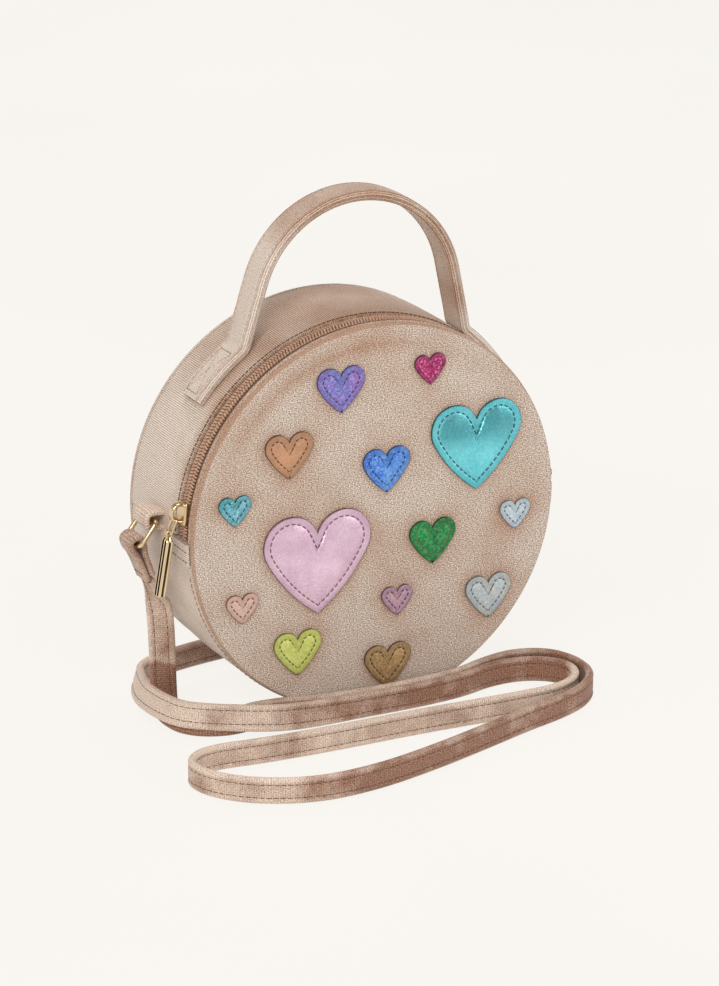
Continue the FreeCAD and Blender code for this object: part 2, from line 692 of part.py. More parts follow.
# Each bend of a drop: its share of the fall, its share of the way sideways, the way the strap runs there
# and the way its width lies
LEFT_BENDS = [
    (0.2, 0.75, (0.35, 0, -1), (-0.65, 0.75, 0)),
    (0.42, 0.9, (0.06, 0, -1), (-0.88, 0.47, 0)),
    (0.7, 0.97, (0.03, -0.05, -1), (-0.88, 0.47, 0)),
    (0.92, 0.99, (0.1, -0.5, -0.7), (-0.6, 0.3, -0.7)),
]
RIGHT_BENDS = [
    (0.25, 0.12, (-0.15, 0.2, -1), (0.5, 0.85, 0)),
    (0.52, 0.3, (-0.2, 0.3, -1), (0.75, 0.6, 0)),
    (0.78, 0.53, (-0.4, 0.4, -0.8), (0.75, 0.5, -0.2)),
    (0.95, 0.77, (-0.6, 0.5, -0.35), (0.3, 0.3, -0.9)),
]


def make_strap():
    route = strap_route()
    make_floor_run(route)
    make_drop("strap_left_drop", -1, route[0], (route[1] - route[0]).normalize(), LEFT_BENDS)
    make_drop("strap_right_drop", 1, route[-1], (route[-2] - route[-1]).normalize(), RIGHT_BENDS)


# A heart's shape, as shares of its width
HEART_HEIGHT = 0.9
LOBE_RADIUS = 0.256
LOBE_OFFSET = 0.244
SIDE_RADIUS = 1.5

# Each patch: its size, and its middle across and up the panel as shares of the bag's radius
HEARTS = {
    "heart_purple": ("heart_medium", -0.199, 0.697),
    "heart_magenta": ("heart_small", 0.291, 0.731),
    "heart_turquoise": ("heart_large", 0.552, 0.294),
    "heart_copper": ("heart_medium", -0.48, 0.402),
    "heart_blue": ("heart_medium", 0.05, 0.248),
    "heart_teal": ("heart_small", -0.773, 0.165),
    "heart_pink": ("heart_extra", -0.33, -0.177),
    "heart_green": ("heart_medium", 0.309, -0.17),
    "heart_silver_small": ("heart_small", 0.778, -0.104),
    "heart_silver": ("heart_medium", 0.63, -0.519),
    "heart_rose": ("heart_small", -0.739, -0.346),
    "heart_mauve": ("heart_small", 0.112, -0.45),
    "heart_lime": ("heart_medium", -0.44, -0.632),
    "heart_bronze": ("heart_medium", 0.061, -0.79),
}


def heart_outline(sketch, width):
    """Two round lobes and two long arcs that meet them smoothly and come together at the tip."""
    scale = measure(width)
    lobe_height = HEART_HEIGHT / 2 - LOBE_RADIUS
    lobe = Vector(LOBE_OFFSET, lobe_height, 0)
    tip = Vector(0, -HEART_HEIGHT / 2, 0)
    notch_angle = math.pi - math.acos(LOBE_OFFSET / LOBE_RADIUS)
    # The long arc touches the lobe from outside it, so their middles are this far apart
    apart = SIDE_RADIUS - LOBE_RADIUS
    fall = tip - lobe
    lean = math.acos((SIDE_RADIUS ** 2 - apart ** 2 - fall.Length ** 2) / (2 * apart * fall.Length))
    join_angle = math.atan2(fall.y, fall.x) + lean
    side = lobe - Vector(math.cos(join_angle), math.sin(join_angle), 0) * apart
    tip_angle = math.atan2(tip.y - side.y, tip.x - side.x)
    arcs = [(lobe, LOBE_RADIUS, join_angle, notch_angle), (side, SIDE_RADIUS, tip_angle, join_angle)]
    arcs += [(Vector(-middle.x, middle.y, 0), radius, math.pi - end, math.pi - start)
             for middle, radius, start, end in arcs]
    for middle, radius, start, end in arcs:
        whole = Part.Circle(middle * scale, Vector(0, 0, 1), radius * scale)
        sketch.addGeometry(Part.ArcOfCircle(whole, start, end))
    right_lobe, right_side, left_lobe, left_side = range(4)
    fix(sketch, "Tangent", right_lobe, 1, right_side, 2)
    fix(sketch, "Tangent", left_lobe, 2, left_side, 1)
    fix(sketch, "Coincident", right_lobe, 2, left_lobe, 1)
    fix(sketch, "Coincident", right_side, 1, left_side, 2)
    fix(sketch, "PointOnObject", right_side, 1, -2)
    fix(sketch, "Symmetric", right_lobe, 3, left_lobe, 3, -2)
    fix(sketch, "Equal", right_lobe, left_lobe)
    fix(sketch, "Equal", right_side, left_side)
    drive(sketch, "Radius", right_lobe, by=f"{LOBE_RADIUS} * {width}")
    drive(sketch, "Radius", right_side, by=f"{SIDE_RADIUS} * {width}")
    drive(sketch, "DistanceX", right_lobe, 3, by=f"{LOBE_OFFSET} * {width}")
    drive(sketch, "DistanceY", right_lobe, 3, by=f"{lobe_height:.3f} * {width}")
    drive(sketch, "DistanceY", right_side, 1, by=f"-{HEART_HEIGHT} / 2 * {width}")


def make_hearts():
    for label, (width, across, up) in HEARTS.items():
        body = new_body(label)
        sketch = new_sketch(body, "XZ_Plane")
        heart_outline(sketch, width)
        pad(body, sketch, "heart_thickness - heart_puff")
        # Inside the line of stitches the patch is padded and stands a little higher
        middle = new_sketch(body, "XZ_Plane")
        heart_outline(middle, f"({width} - 2 * heart_border)")
        pad(body, middle, "heart_thickness")
        height = f"centre_height + {up} * bag_radius"
        place(body, f"{across} * bag_radius", "front_face - layer_gap", height, "0")


def check_and_write():
    doc.recompute()
    for item in doc.Objects:
        if "Invalid" in item.State or "Error" in item.State:
            raise RuntimeError(f"{item.Label} did not build: {item.State}")
    for piece in pieces:
        if piece.Shape.isNull() or not piece.Shape.isValid() or piece.Shape.Volume <= 0:
            raise RuntimeError(f"{piece.Label} has no sound shape")
    os.makedirs("parts", exist_ok=True)
    for piece in pieces:
        piece.Shape.exportStep(f"parts/{piece.Label}.step")
    print(len(pieces), "pieces")


fill_sheet()
make_panels()
make_gussets()
make_zip()
make_slider()
make_pull()
make_handle()
make_ring_side("left", -1)
make_ring_side("right", 1)
make_strap()
make_hearts()
check_and_write()
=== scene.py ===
import math

import bmesh
import bpy
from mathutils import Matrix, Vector, noise
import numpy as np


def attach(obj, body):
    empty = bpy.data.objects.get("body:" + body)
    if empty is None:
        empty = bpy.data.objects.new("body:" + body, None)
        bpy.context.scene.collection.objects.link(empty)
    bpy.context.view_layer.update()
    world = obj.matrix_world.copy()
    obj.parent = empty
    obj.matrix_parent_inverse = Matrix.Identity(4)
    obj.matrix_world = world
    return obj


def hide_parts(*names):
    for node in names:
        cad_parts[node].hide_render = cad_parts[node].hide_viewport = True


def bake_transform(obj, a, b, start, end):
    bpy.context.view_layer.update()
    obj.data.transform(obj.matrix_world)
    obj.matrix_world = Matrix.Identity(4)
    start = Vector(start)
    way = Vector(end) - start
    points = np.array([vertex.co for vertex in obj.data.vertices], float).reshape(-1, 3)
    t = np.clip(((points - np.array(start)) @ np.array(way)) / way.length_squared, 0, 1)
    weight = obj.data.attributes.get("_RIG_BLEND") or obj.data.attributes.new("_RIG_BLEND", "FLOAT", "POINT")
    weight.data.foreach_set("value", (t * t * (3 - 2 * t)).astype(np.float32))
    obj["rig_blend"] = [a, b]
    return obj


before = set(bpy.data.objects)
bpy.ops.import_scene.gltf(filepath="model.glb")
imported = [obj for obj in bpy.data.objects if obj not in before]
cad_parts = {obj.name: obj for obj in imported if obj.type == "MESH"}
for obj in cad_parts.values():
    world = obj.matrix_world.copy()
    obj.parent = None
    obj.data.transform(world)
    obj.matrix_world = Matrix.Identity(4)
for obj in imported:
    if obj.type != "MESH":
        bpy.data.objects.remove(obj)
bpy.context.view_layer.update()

# Sizes shared with the solids, in millimetres; meshes are made in metres
MM = 0.001
RADIUS = 90.0
CENTRE_HEIGHT = 89.2
FRONT_FACE = -33.1
BACK_FACE = 34.9
FRONT_SEAM = -30.3
BACK_SEAM = 32.1
FRONT_DOME = 0.4
BACK_DOME = 1.5
FOLD_HEIGHT = 90.8
GUSSET_INSIDE = 88.2
LINING_RADIUS = 86.4
LINING_INSIDE = 85.7
LINING_DISC = 85.3
BINDING_RADIUS = 83.05
BINDING_WIDTH = 4.4
BINDING_THICKNESS = 2.3
ZIP_MIDDLE = -21.3
ZIP_FRONT_EDGE = -26.8
ZIP_REAR_EDGE = -15.8
TAPE_OUTSIDE = 87.9
TAPE_INSIDE = 87.3
TAPE_SEWN_EDGE = -30.1
END_TAB_OUTSIDE = 91.4
END_TAB_INSIDE = 90.3
CARRY_LINE = 1.4
STRAP_WIDTH = 12.0
STRAP_THICKNESS = 3.8
# Angles round the bag: the zip runs over the top, the lower gusset underneath
ZIP_ANGLES = (178.75, 1.25)
LOWER_ANGLES = (1, -181)
# The first ring of a round piece, so small that it looks like a point
MIDDLE = 0.001
# Soft pieces stay this far above the floor
FLOOR_GAP = 0.02
DOWN = Vector((0, 0, -1))
DEPTH = Vector((0, 1, 0))


# Places and meshes

def metres(point):
    return tuple(value * MM for value in point)


def on_rim(radius, angle, depth):
    """A point round the bag: angle in degrees from the right hand side, upwards."""
    turn = math.radians(angle)
    return Vector((radius * math.cos(turn), depth, CENTRE_HEIGHT + radius * math.sin(turn)))


def outward(angle):
    turn = math.radians(angle)
    return Vector((math.cos(turn), 0, math.sin(turn)))


def steps(start, end, count):
    return [start + (end - start) * k / count for k in range(count + 1)]


def ease(value, low, high):
    share = min(1.0, max(0.0, (value - low) / (high - low)))
    return share * share * (3 - 2 * share)


def uneven(point, size, seed=0.0):
    return noise.noise(Vector((point.x / size, point.y / size + seed, point.z / size)))


def mesh_piece(name, corners, faces, places, material, sharp=50):
    """A smooth shaded piece; places holds a texture place, in metres, for every face corner."""
    mesh = bpy.data.meshes.new(name)
    mesh.from_pydata([point * MM for point in corners], [], faces)
    layer = mesh.uv_layers.new(name="UVMap")
    for corner, place in zip(layer.data, places):
        corner.uv = place
    shape = bmesh.new()
    shape.from_mesh(mesh)
    bmesh.ops.remove_doubles(shape, verts=shape.verts, dist=1e-6)
    bmesh.ops.recalc_face_normals(shape, faces=shape.faces)
    shape.to_mesh(mesh)
    shape.free()
    mesh.materials.append(material)
    mesh.shade_smooth()
    mesh.set_sharp_from_angle(angle=math.radians(sharp))
    piece = bpy.data.objects.new(name, mesh)
    bpy.context.scene.collection.objects.link(piece)
    return piece


def grid(name, rows, spot, material, wrap=False, ends=False, sharp=50):
    """A piece from rows of points; wrap joins each row into a loop, ends closes the first and last row."""
    across = len(rows[0])
    corners = [point for row in rows for point in row]
    faces = []
    places = []
    for i in range(len(rows) - 1):
        for j in range(across if wrap else across - 1):
            k = (j + 1) % across
            faces.append((i * across + j, i * across + k, (i + 1) * across + k, (i + 1) * across + j))
            places += [spot(i, j), spot(i, j + 1), spot(i + 1, j + 1), spot(i + 1, j)]
    if ends:
        for i in (0, len(rows) - 1):
            faces.append(tuple(i * across + j for j in range(across)))
            places += [spot(i, j) for j in range(across)]
    return mesh_piece(name, corners, faces, places, material, sharp)


def lengths(points, closed=False):
    """How far along its line each point is."""
    run = [0.0]
    for first, second in zip(points, points[1:]):
        run.append(run[-1] + (second - first).length)
    if closed:
        run.append(run[-1] + (points[0] - points[-1]).length)
    return run


def sweep(name, line, wide, profile, material, closed=False, sharp=50, start=0.0):
    """Carries a closed profile along a line; wide is the profile's first direction at each point.

    The material's pattern begins at start, so a second stretch can carry on where the first one ends.
    """
    count = len(line)
    rows = []
    for i, point in enumerate(line):
        ahead = line[(i + 1) % count] if closed or i + 1 < count else point
        behind = line[i - 1] if closed or i > 0 else point
        forward = (ahead - behind).normalized()
        side = wide[i] - forward * wide[i].dot(forward)
        side.normalize()
        over = forward.cross(side)
        rows.append([point + side * a + over * b for a, b in profile])
    run = lengths(line, closed)
    girth = lengths([Vector(point) for point in profile], True)
    if closed:
        rows.append(rows[0])

    def spot(i, j):
        return (start + run[i]) * MM, girth[j] * MM

    return grid(name, rows, spot, material, wrap=True, ends=not closed, sharp=sharp)


def direction_at(line, i):
    return line[min(i + 1, len(line) - 1)] - line[max(i - 1, 0)]


def smooth_line(route):
    """Points along one smooth spline that has the route's points as its control points, all in metres."""
    curve = bpy.data.curves.new("route", "CURVE")
    curve.dimensions = "3D"
    spline = curve.splines.new("NURBS")
    spline.points.add(len(route) - 1)
    for control, point in zip(spline.points, route):
        control.co = (*point, 1)
    spline.order_u = 3
    spline.use_endpoint_u = True
    spline.resolution_u = 8
    holder = bpy.data.objects.new("route", curve)
    line = bpy.data.meshes.new_from_object(holder)
    points = [vertex.co.copy() for vertex in line.vertices]
    bpy.data.objects.remove(holder)
    bpy.data.curves.remove(curve)
    bpy.data.meshes.remove(line)
    return points


def smooth_bend(route):
    """The same for a route in millimetres."""
    return [point / MM for point in smooth_line([point * MM for point in route])]


def band_profile(width, thickness, inset=0.0, dip=0.0, count=24):
    """A soft band's outline: round, full edges, and a dip along each line of stitching."""
    top = []
    for k in range(count + 1):
        a = -width / 2 * math.cos(math.pi * k / count)
        edge = width / 2 - abs(a)
        soft = min(1.0, edge / (thickness * 0.55))
        height = thickness / 2 * math.sqrt(max(0.0, 1 - (1 - soft) ** 2))
        if inset:
            height -= dip * math.exp(-((edge - inset) / 0.75) ** 2)
            height -= 0.35 * dip * ease(edge, inset, inset + 1)
        top.append((a, height))
    return top + [(a, -height) for a, height in reversed(top[1:-1])]


def round_profile(radius, count=10):
    return [(radius * math.cos(math.tau * k / count), radius * math.sin(math.tau * k / count))
            for k in range(count)]


def along(line, normals, distance, run):
    """The place and the outward direction at a distance along a line."""
    i = 0
    while i < len(run) - 2 and run[i + 1] < distance:
        i += 1
    share = (distance - run[i]) / max(1e-9, run[i + 1] - run[i])
    j = (i + 1) % len(line)
    return line[i].lerp(line[j], share), normals[i].lerp(normals[j], share).normalized()


def stitches(name, seams, material, dash=2.0, gap=1.0, size=0.3):
    """Dashes of thread along seams; a seam is a line, its outward directions, and whether it closes."""
    corners = []
    faces = []
    places = []
    sides = 5
    look = 0.3
    strand = 0.0002
    for line, normals, closed in seams:
        run = lengths(line, closed)
        count = max(1, round(run[-1] / (dash + gap)))
        pitch = run[-1] / count
        for k in range(count):
            first = len(corners)
            start = k * pitch + (pitch - dash) / 2
            for station, fat in ((0.0, 0.45), (0.2, 1.0), (0.8, 1.0), (1.0, 0.45)):
                here = start + dash * station
                place, normal = along(line, normals, here, run)
                ahead = along(line, normals, here + look, run)[0]
                behind = along(line, normals, max(0.0, here - look), run)[0]
                forward = (ahead - behind).normalized()
                side = forward.cross(normal).normalized()
                centre = place + normal * (size * (0.35 if fat == 1.0 else 0.0))
                for j in range(sides):
                    turn = math.tau * j / sides
                    corners.append(centre + (side * math.cos(turn) + normal * math.sin(turn)) * size * fat)
            for row in range(3):
                for j in range(sides):
                    a = first + row * sides + j
                    b = first + row * sides + (j + 1) % sides
                    faces.append((a, b, b + sides, a + sides))
                    near = start * MM
                    far = (start + 0.6) * MM
                    places += [(near, j * strand), (near, (j + 1) * strand),
                               (far, (j + 1) * strand), (far, j * strand)]
    return mesh_piece(name, corners, faces, places, material)


def brush_and_shade(piece, amount):
    """Stores how far the velvet's nap is brushed up at each point, with painted shade and highlight added in
    places: 0 is pale, 1 is brown.
    """
    layer = piece.data.attributes.new("brushed", "FLOAT", "POINT")
    for vertex, value in zip(piece.data.vertices, layer.data):
        value.value = amount(vertex.co / MM)


def soften(piece, width):
    edges = piece.modifiers.new("soft_edges", "BEVEL")
    edges.width = width * MM
    edges.segments = 2
    edges.limit_method = "ANGLE"
    edges.angle_limit = math.radians(32)
    return piece


# Materials

def paint(red, green, blue):
    """A colour as a picture shows it, in the numbers that the shader takes."""
    def linear(value):
        value /= 255
        return value / 12.92 if value <= 0.04045 else ((value + 0.055) / 1.055) ** 2.4
    return linear(red), linear(green), linear(blue), 1.0


class Nodes:
    """Short ways to add nodes to a tree and join them."""

    def __init__(self, tree):
        self.tree = tree

    def put(self, value, socket):
        if hasattr(value, "is_output"):
            self.tree.links.new(value, socket)
        else:
            socket.default_value = value

    def add(self, kind, inputs=(), **settings):
        """A new node; inputs holds pairs of a socket and the value or output that goes into it."""
        node = self.tree.nodes.new(kind)
        for name, value in settings.items():
            setattr(node, name, value)
        for socket, value in inputs:
            self.put(value, node.inputs[socket])
        return node

    def mix(self, factor, first, second):
        node = self.add("ShaderNodeMix", data_type="RGBA")
        for socket, value in ((0, factor), (6, first), (7, second)):
            self.put(value, node.inputs[socket])
        return node.outputs[2]

    def combine(self, first, second, operation="ADD"):
        return self.add("ShaderNodeMath", ((0, first), (1, second)), operation=operation).outputs[0]

    def show(self, share, first, second, output):
        """Ends the tree with a mix of two shaders."""
        both = self.add("ShaderNodeMixShader", ((0, share), (1, first), (2, second)))
        self.put(both.outputs[0], self.tree.nodes[output].inputs["Surface"])

    def seeing_rays(self, path):
        """1 for rays that show the surroundings: from the camera, off gloss or through something clear."""
        seen = self.combine(path.outputs["Is Camera Ray"], path.outputs["Is Glossy Ray"], "MAXIMUM")
        return self.combine(seen, path.outputs["Is Transmission Ray"], "MAXIMUM")


class Surface(Nodes):
    """A material; texture places are in metres."""

    def __init__(self, name, coordinates="UV"):
        self.material = bpy.data.materials.new(name)
        self.material.use_nodes = True
        super().__init__(self.material.node_tree)
        self.shader = self.tree.nodes["Principled BSDF"]
        self.place = self.add("ShaderNodeTexCoord").outputs[coordinates]

    def stretched(self, along_length, along_girth):
        scale = (along_length, along_girth, 1)
        return self.add("ShaderNodeMapping", (("Vector", self.place), ("Scale", scale))).outputs["Vector"]

    def noise(self, scale, detail=2.0, roughness=0.5, place=None):
        inputs = (("Vector", place or self.place), ("Scale", scale), ("Detail", detail),
                  ("Roughness", roughness))
        return self.add("ShaderNodeTexNoise", inputs).outputs["Fac"]

    def ribs(self, spacing, direction="X", wobble=0.0):
        """Even ridges, spacing metres apart."""
        scale = math.tau / 20 / spacing
        inputs = (("Vector", self.place), ("Scale", scale), ("Distortion", wobble), ("Detail Scale", 1.5))
        node = self.add("ShaderNodeTexWave", inputs, wave_type="BANDS", bands_direction=direction)
        return node.outputs["Fac"]

    def grains(self, scale):
        """A random tone for each small cell."""
        return self.add("ShaderNodeTexVoronoi", (("Vector", self.place), ("Scale", scale))).outputs["Color"]

    def stored(self, name):
        """What the mesh stores under this name."""
        return self.add("ShaderNodeAttribute", attribute_name=name).outputs["Fac"]

    def ramp(self, factor, *stops):
        node = self.add("ShaderNodeValToRGB", (("Fac", factor),))
        elements = node.color_ramp.elements
        while len(elements) < len(stops):
            elements.new(0.5)
        for element, (position, tone) in zip(elements, stops):
            element.position = position
            element.color = tone if isinstance(tone, tuple) else (tone, tone, tone, 1)
        return node.outputs["Color"]

    def bump(self, height, strength, distance):
        inputs = (("Height", height), ("Strength", strength), ("Distance", distance))
        node = self.add("ShaderNodeBump", inputs)
        self.put(node.outputs["Normal"], self.shader.inputs["Normal"])

    def set(self, **values):
        for name, value in values.items():
            self.put(value, self.shader.inputs[name.replace("_", " ")])


def velvet(name, pale_tones, brown_tones, ribs, direction, rib_share, patches=22, mottle=1.7):
    """Shimmer velvet: a speckle of short dashes, soft ribs, and pale nap that is brown where brushed up and
    where shade is painted in, paler where a highlight is painted.
    """
    s = Surface(name)
    dashes = s.noise(1, 2.0, 0.8, s.stretched(1500, 2300))
    ridges = s.ribs(ribs, direction, 0.8)
    speckle = s.combine(dashes, 1 - rib_share, "MULTIPLY")
    texture = s.combine(speckle, s.combine(ridges, rib_share, "MULTIPLY"))
    stops = (0.39, 0.5, 0.61)
    pale = s.ramp(texture, *zip(stops, pale_tones))
    brown = s.ramp(texture, *zip(stops, brown_tones))
    brushed = s.stored("brushed")
    drift = s.combine(s.noise(patches, 4.0, 0.65), 0.5, "SUBTRACT")
    amount = s.combine(brushed, s.combine(drift, mottle, "MULTIPLY"))
    s.set(Base_Color=s.mix(amount, pale, brown), Roughness=s.ramp(texture, (0.37, 0.65), (0.63, 0.45)))
    s.set(Sheen_Weight=0.25, Sheen_Roughness=0.35, Sheen_Tint=paint(255, 240, 228))
    s.bump(texture, 0.5, 0.0004)
    return s.material


def woven(name, light, dark, spacing):
    """Plain weave for tape, lining and binding."""
    s = Surface(name)
    threads = s.combine(s.ribs(spacing, "X", 0.4), s.ribs(spacing, "Y", 0.4), "MULTIPLY")
    worn = s.noise(60, 3.0)
    tone = s.combine(s.combine(threads, 0.6, "MULTIPLY"), s.combine(worn, 0.5, "MULTIPLY"))
    s.set(Base_Color=s.ramp(tone, (0.1, dark), (0.75, light)),
          Roughness=s.ramp(worn, (0.3, 0.7), (0.7, 0.85)))
    s.bump(threads, 0.5, 0.0003)
    return s.material


def zip_cloth():
    """Zip tape: painted shade under the coil, paler beside it."""
    s = Surface("zip_tape")
    threads = s.ribs(0.0007, "X", 0.5)
    parts = s.add("ShaderNodeSeparateXYZ", ((0, s.place),))
    aside = s.combine(s.combine(parts.outputs["Y"], -ZIP_MIDDLE * MM, "ADD"), 0.0, "ABSOLUTE")
    # under is the painted shade beneath the coil
    under = s.ramp(aside, (0.0029, 1.0), (0.0036, 0.0))
    tone = s.combine(s.combine(threads, 0.4, "MULTIPLY"), s.combine(s.noise(900, 2.0), 0.6, "MULTIPLY"))
    side = s.ramp(tone, (0.25, paint(138, 104, 82)), (0.75, paint(206, 172, 146)))
    s.set(Base_Color=s.mix(under, side, paint(116, 84, 64)), Roughness=s.ramp(tone, (0.3, 0.7), (0.7, 0.85)))
    s.bump(threads, 0.4, 0.0003)
    return s.material


def nylon_coil():
    s = Surface("nylon_coil")
    tone = s.noise(420, 2.0)
    s.set(Base_Color=s.ramp(tone, (0.3, paint(176, 134, 108)), (0.7, paint(214, 176, 148))),
          Roughness=s.ramp(tone, (0.3, 0.32), (0.7, 0.5)))
    s.bump(tone, 0.15, 0.0001)
    return s.material


def gold(name, light, dark):
    """Plated metal: bright, with faint swirl marks and softer patches."""
    s = Surface(name)
    swirl = s.noise(260, 4.0, 0.6)
    s.set(Base_Color=s.ramp(s.noise(90, 2.0), (0.3, dark), (0.7, light)),
          Roughness=s.ramp(swirl, (0.3, 0.14), (0.7, 0.26)))
    s.set(Metallic=1.0)
    s.bump(swirl, 0.06, 0.0001)
    return s.material


def thread(name, light, dark):
    s = Surface(name)
    twist = s.noise(900, 2.0)
    s.set(Base_Color=s.ramp(twist, (0.3, dark), (0.7, light)),
          Roughness=s.ramp(twist, (0.3, 0.6), (0.7, 0.8)))
    s.bump(twist, 0.3, 0.0001)
    return s.material


def patch(name, tones, glitter, metal=0.3, rough=0.36, crackle=0.0, shaded=0.0):
    """Foil patch: a slow shift of colour, glitter grains with painted glints, crinkles, a dark cut edge with
    painted shade inside it, a painted dark reflection on the upper part.
    """
    tone, shift, glint_tone, edge_and_shade_tone = (paint(*colour) for colour in tones)
    s = Surface(name)
    drift = s.ramp(s.noise(75, 3.0, 0.6), (0.38, 0.0), (0.62, 1.0))
    body = s.mix(drift, tone, shift)
    grains = s.grains(1250)
    # Bright glitter grains are painted glints in the glint tone; dull ones turn darker
    bright = s.ramp(grains, (0.5, 0.0), (0.95, glitter))
    dull = s.ramp(grains, (0.05, 0.6 * glitter), (0.45, 0.0))
    lit = s.mix(dull, s.mix(bright, body, glint_tone), edge_and_shade_tone)
    # The cut edge is dark, partly its own colour and partly painted shadow; from there to the stitches is
    # painted shade
    border = s.ramp(s.stored("edge"), (0.0, 1.0), (0.06, 0.75), (0.14, 0.28), (0.8, 0.18), (1.0, 0.0))
    # The upper part of a large patch is darkened towards the edge tone: a painted dark reflection
    domed = s.mix(s.combine(s.stored("upper"), shaded, "MULTIPLY"), lit, edge_and_shade_tone)
    s.set(Base_Color=s.mix(border, domed, edge_and_shade_tone), Metallic=metal,
          Roughness=s.ramp(grains, (0.2, rough), (0.8, rough + 0.14)))
    folds = s.combine(s.noise(260, 3.0, 0.6), crackle * 5, "MULTIPLY")
    s.bump(s.combine(s.noise(1200, 2.0), folds), 0.3 + crackle, 0.0003)
    return s.material


def board():
    s = Surface("fibre_board", "Object")
    fibres = s.noise(700, 4.0, 0.7)
    s.set(Base_Color=s.ramp(fibres, (0.3, paint(158, 138, 112)), (0.7, paint(196, 178, 150))),
          Roughness=s.ramp(fibres, (0.3, 0.8), (0.7, 0.92)))
    s.bump(fibres, 0.3, 0.0003)
    return s.material


PALE_PANEL = (paint(132, 108, 91), paint(196, 175, 158), paint(250, 240, 229))
PALE_SIDE = (paint(172, 149, 131), paint(217, 199, 183), paint(246, 234, 222))
PALE_STRAP = (paint(170, 140, 118), paint(225, 200, 179), paint(250, 235, 220))
# Brown for brushed-up nap, also used for painted shade
BROWN_NAP_AND_SHADE = (paint(112, 78, 57), paint(172, 132, 105), paint(216, 182, 156))
BROWN_STRAP = (paint(86, 52, 37), paint(138, 93, 71), paint(190, 147, 121))
PANEL_VELVET = velvet("velvet_panel", PALE_PANEL, BROWN_NAP_AND_SHADE, 0.0009, "Y", 0.04, mottle=2.1)
GUSSET_VELVET = velvet("velvet_gusset", PALE_SIDE, BROWN_NAP_AND_SHADE, 0.00095, "X", 0.2)
HANDLE_VELVET = velvet("velvet_handle", PALE_SIDE, BROWN_NAP_AND_SHADE, 0.001, "Y", 0.18, patches=40)
TAB_VELVET = velvet("velvet_tab", PALE_STRAP, BROWN_STRAP, 0.0012, "X", 0.1, patches=90)
STRAP_VELVET = velvet("velvet_strap", PALE_STRAP, BROWN_STRAP, 0.001, "X", 0.06, patches=60, mottle=2.2)
LINING_CLOTH = woven("lining_cloth", paint(214, 196, 176), paint(172, 150, 128), 0.0006)
BINDING_TAPE = woven("binding_tape", paint(176, 146, 124), paint(128, 98, 78), 0.0007)
ZIP_TAPE = zip_cloth()
COIL = nylon_coil()
GOLD = gold("pale_gold", paint(238, 217, 182), paint(214, 188, 146))
# Dark gold for the pull's flutes: painted shade
GOLD_FLUTE_SHADE = gold("gold_flute_shade", paint(96, 72, 42), paint(62, 44, 22))
THREAD = thread("brown_thread", paint(112, 80, 60), paint(78, 52, 38))
VELVET_THREAD = thread("velvet_thread", paint(206, 184, 166), paint(172, 146, 126))
SEAM_THREAD = thread("seam_thread", paint(168, 132, 108), paint(128, 96, 76))
BOARD = board()


# Outlines of the heart patches; places are shares of the bag's radius from its middle

SMALL, MEDIUM, LARGE, EXTRA = 15.6, 23.4, 45.6, 52.6
HEARTS = {
    "purple": (MEDIUM, -0.199, 0.697),
    "magenta": (SMALL, 0.291, 0.731),
    "turquoise": (LARGE, 0.552, 0.294),
    "copper": (MEDIUM, -0.48, 0.402),
    "blue": (MEDIUM, 0.05, 0.248),
    "teal": (SMALL, -0.773, 0.165),
    "pink": (EXTRA, -0.33, -0.177),
    "green": (MEDIUM, 0.309, -0.17),
    "silver_small": (SMALL, 0.778, -0.104),
    "silver": (MEDIUM, 0.63, -0.519),
    "rose": (SMALL, -0.739, -0.346),
    "mauve": (SMALL, 0.112, -0.45),
    "lime": (MEDIUM, -0.44, -0.632),
    "bronze": (MEDIUM, 0.061, -0.79),
}


def heart_line(width):
    """The heart's edge, from the notch round to the notch: two round lobes and two long arcs to the tip."""
    lobe = 0.256 * width
    lobe_x = 0.244 * width
    lobe_z = (0.45 - 0.256) * width
    tip_z = -0.45 * width
    side_radius = 1.5 * width
    join = math.radians(-28.4)
    notch = math.pi - math.acos(lobe_x / lobe)
    half = []
    for k in range(25):
        turn = notch + (join - notch) * k / 24
        half.append((lobe_x + lobe * math.cos(turn), lobe_z + lobe * math.sin(turn)))
    middle_x = lobe_x - (side_radius - lobe) * math.cos(join)
    middle_z = lobe_z - (side_radius - lobe) * math.sin(join)
    tip_turn = math.asin(max(-1.0, min(1.0, (tip_z - middle_z) / side_radius)))
    for k in range(1, 21):
        turn = join + (tip_turn - join) * k / 20
        half.append((middle_x + side_radius * math.cos(turn), middle_z + side_radius * math.sin(turn)))
    half[-1] = (0.0, tip_z)
    half[0] = (0.0, half[0][1])
    return half + [(-x, z) for x, z in reversed(half[1:-1])]


def inset_line(line, distance):
    """The same edge moved inwards, with its corners kept sharp."""
    moved = []
    count = len(line)
    for i in range(count):
        before = Vector(line[i - 1])
        here = Vector(line[i])
        after = Vector(line[(i + 1) % count])
        first = (here - before).normalized()
        second = (after - here).normalized()
        inward = Vector((first.y + second.y, -first.x - second.x)).normalized()
        spread = max(0.45, inward.dot(Vector((second.y, -second.x))))
        moved.append(tuple(here + inward * distance / spread))
    return moved


# How far inside its edge a patch is sewn, by its width
SEWN_INSETS = {SMALL: 2.3, MEDIUM: 2.9, LARGE: 3.2, EXTRA: 3.3}
HEART_LINES = {
    width: [Vector(point) for point in heart_line(width)]
    for width in SEWN_INSETS
}


def pressed(x, z):
    """How far the sewing of the nearest patch presses the velvet down: 1 at its edge, less round it."""
    most = 0.0
    for width, x_share, z_share in HEARTS.values():
        place = Vector((x - RADIUS * x_share, z - CENTRE_HEIGHT - RADIUS * z_share))
        if place.length < 0.6 * width + 10:
            gap = min((place - point).length for point in HEART_LINES[width])
            most = max(most, math.exp(-gap / 3.5))
    return most


# Bag body

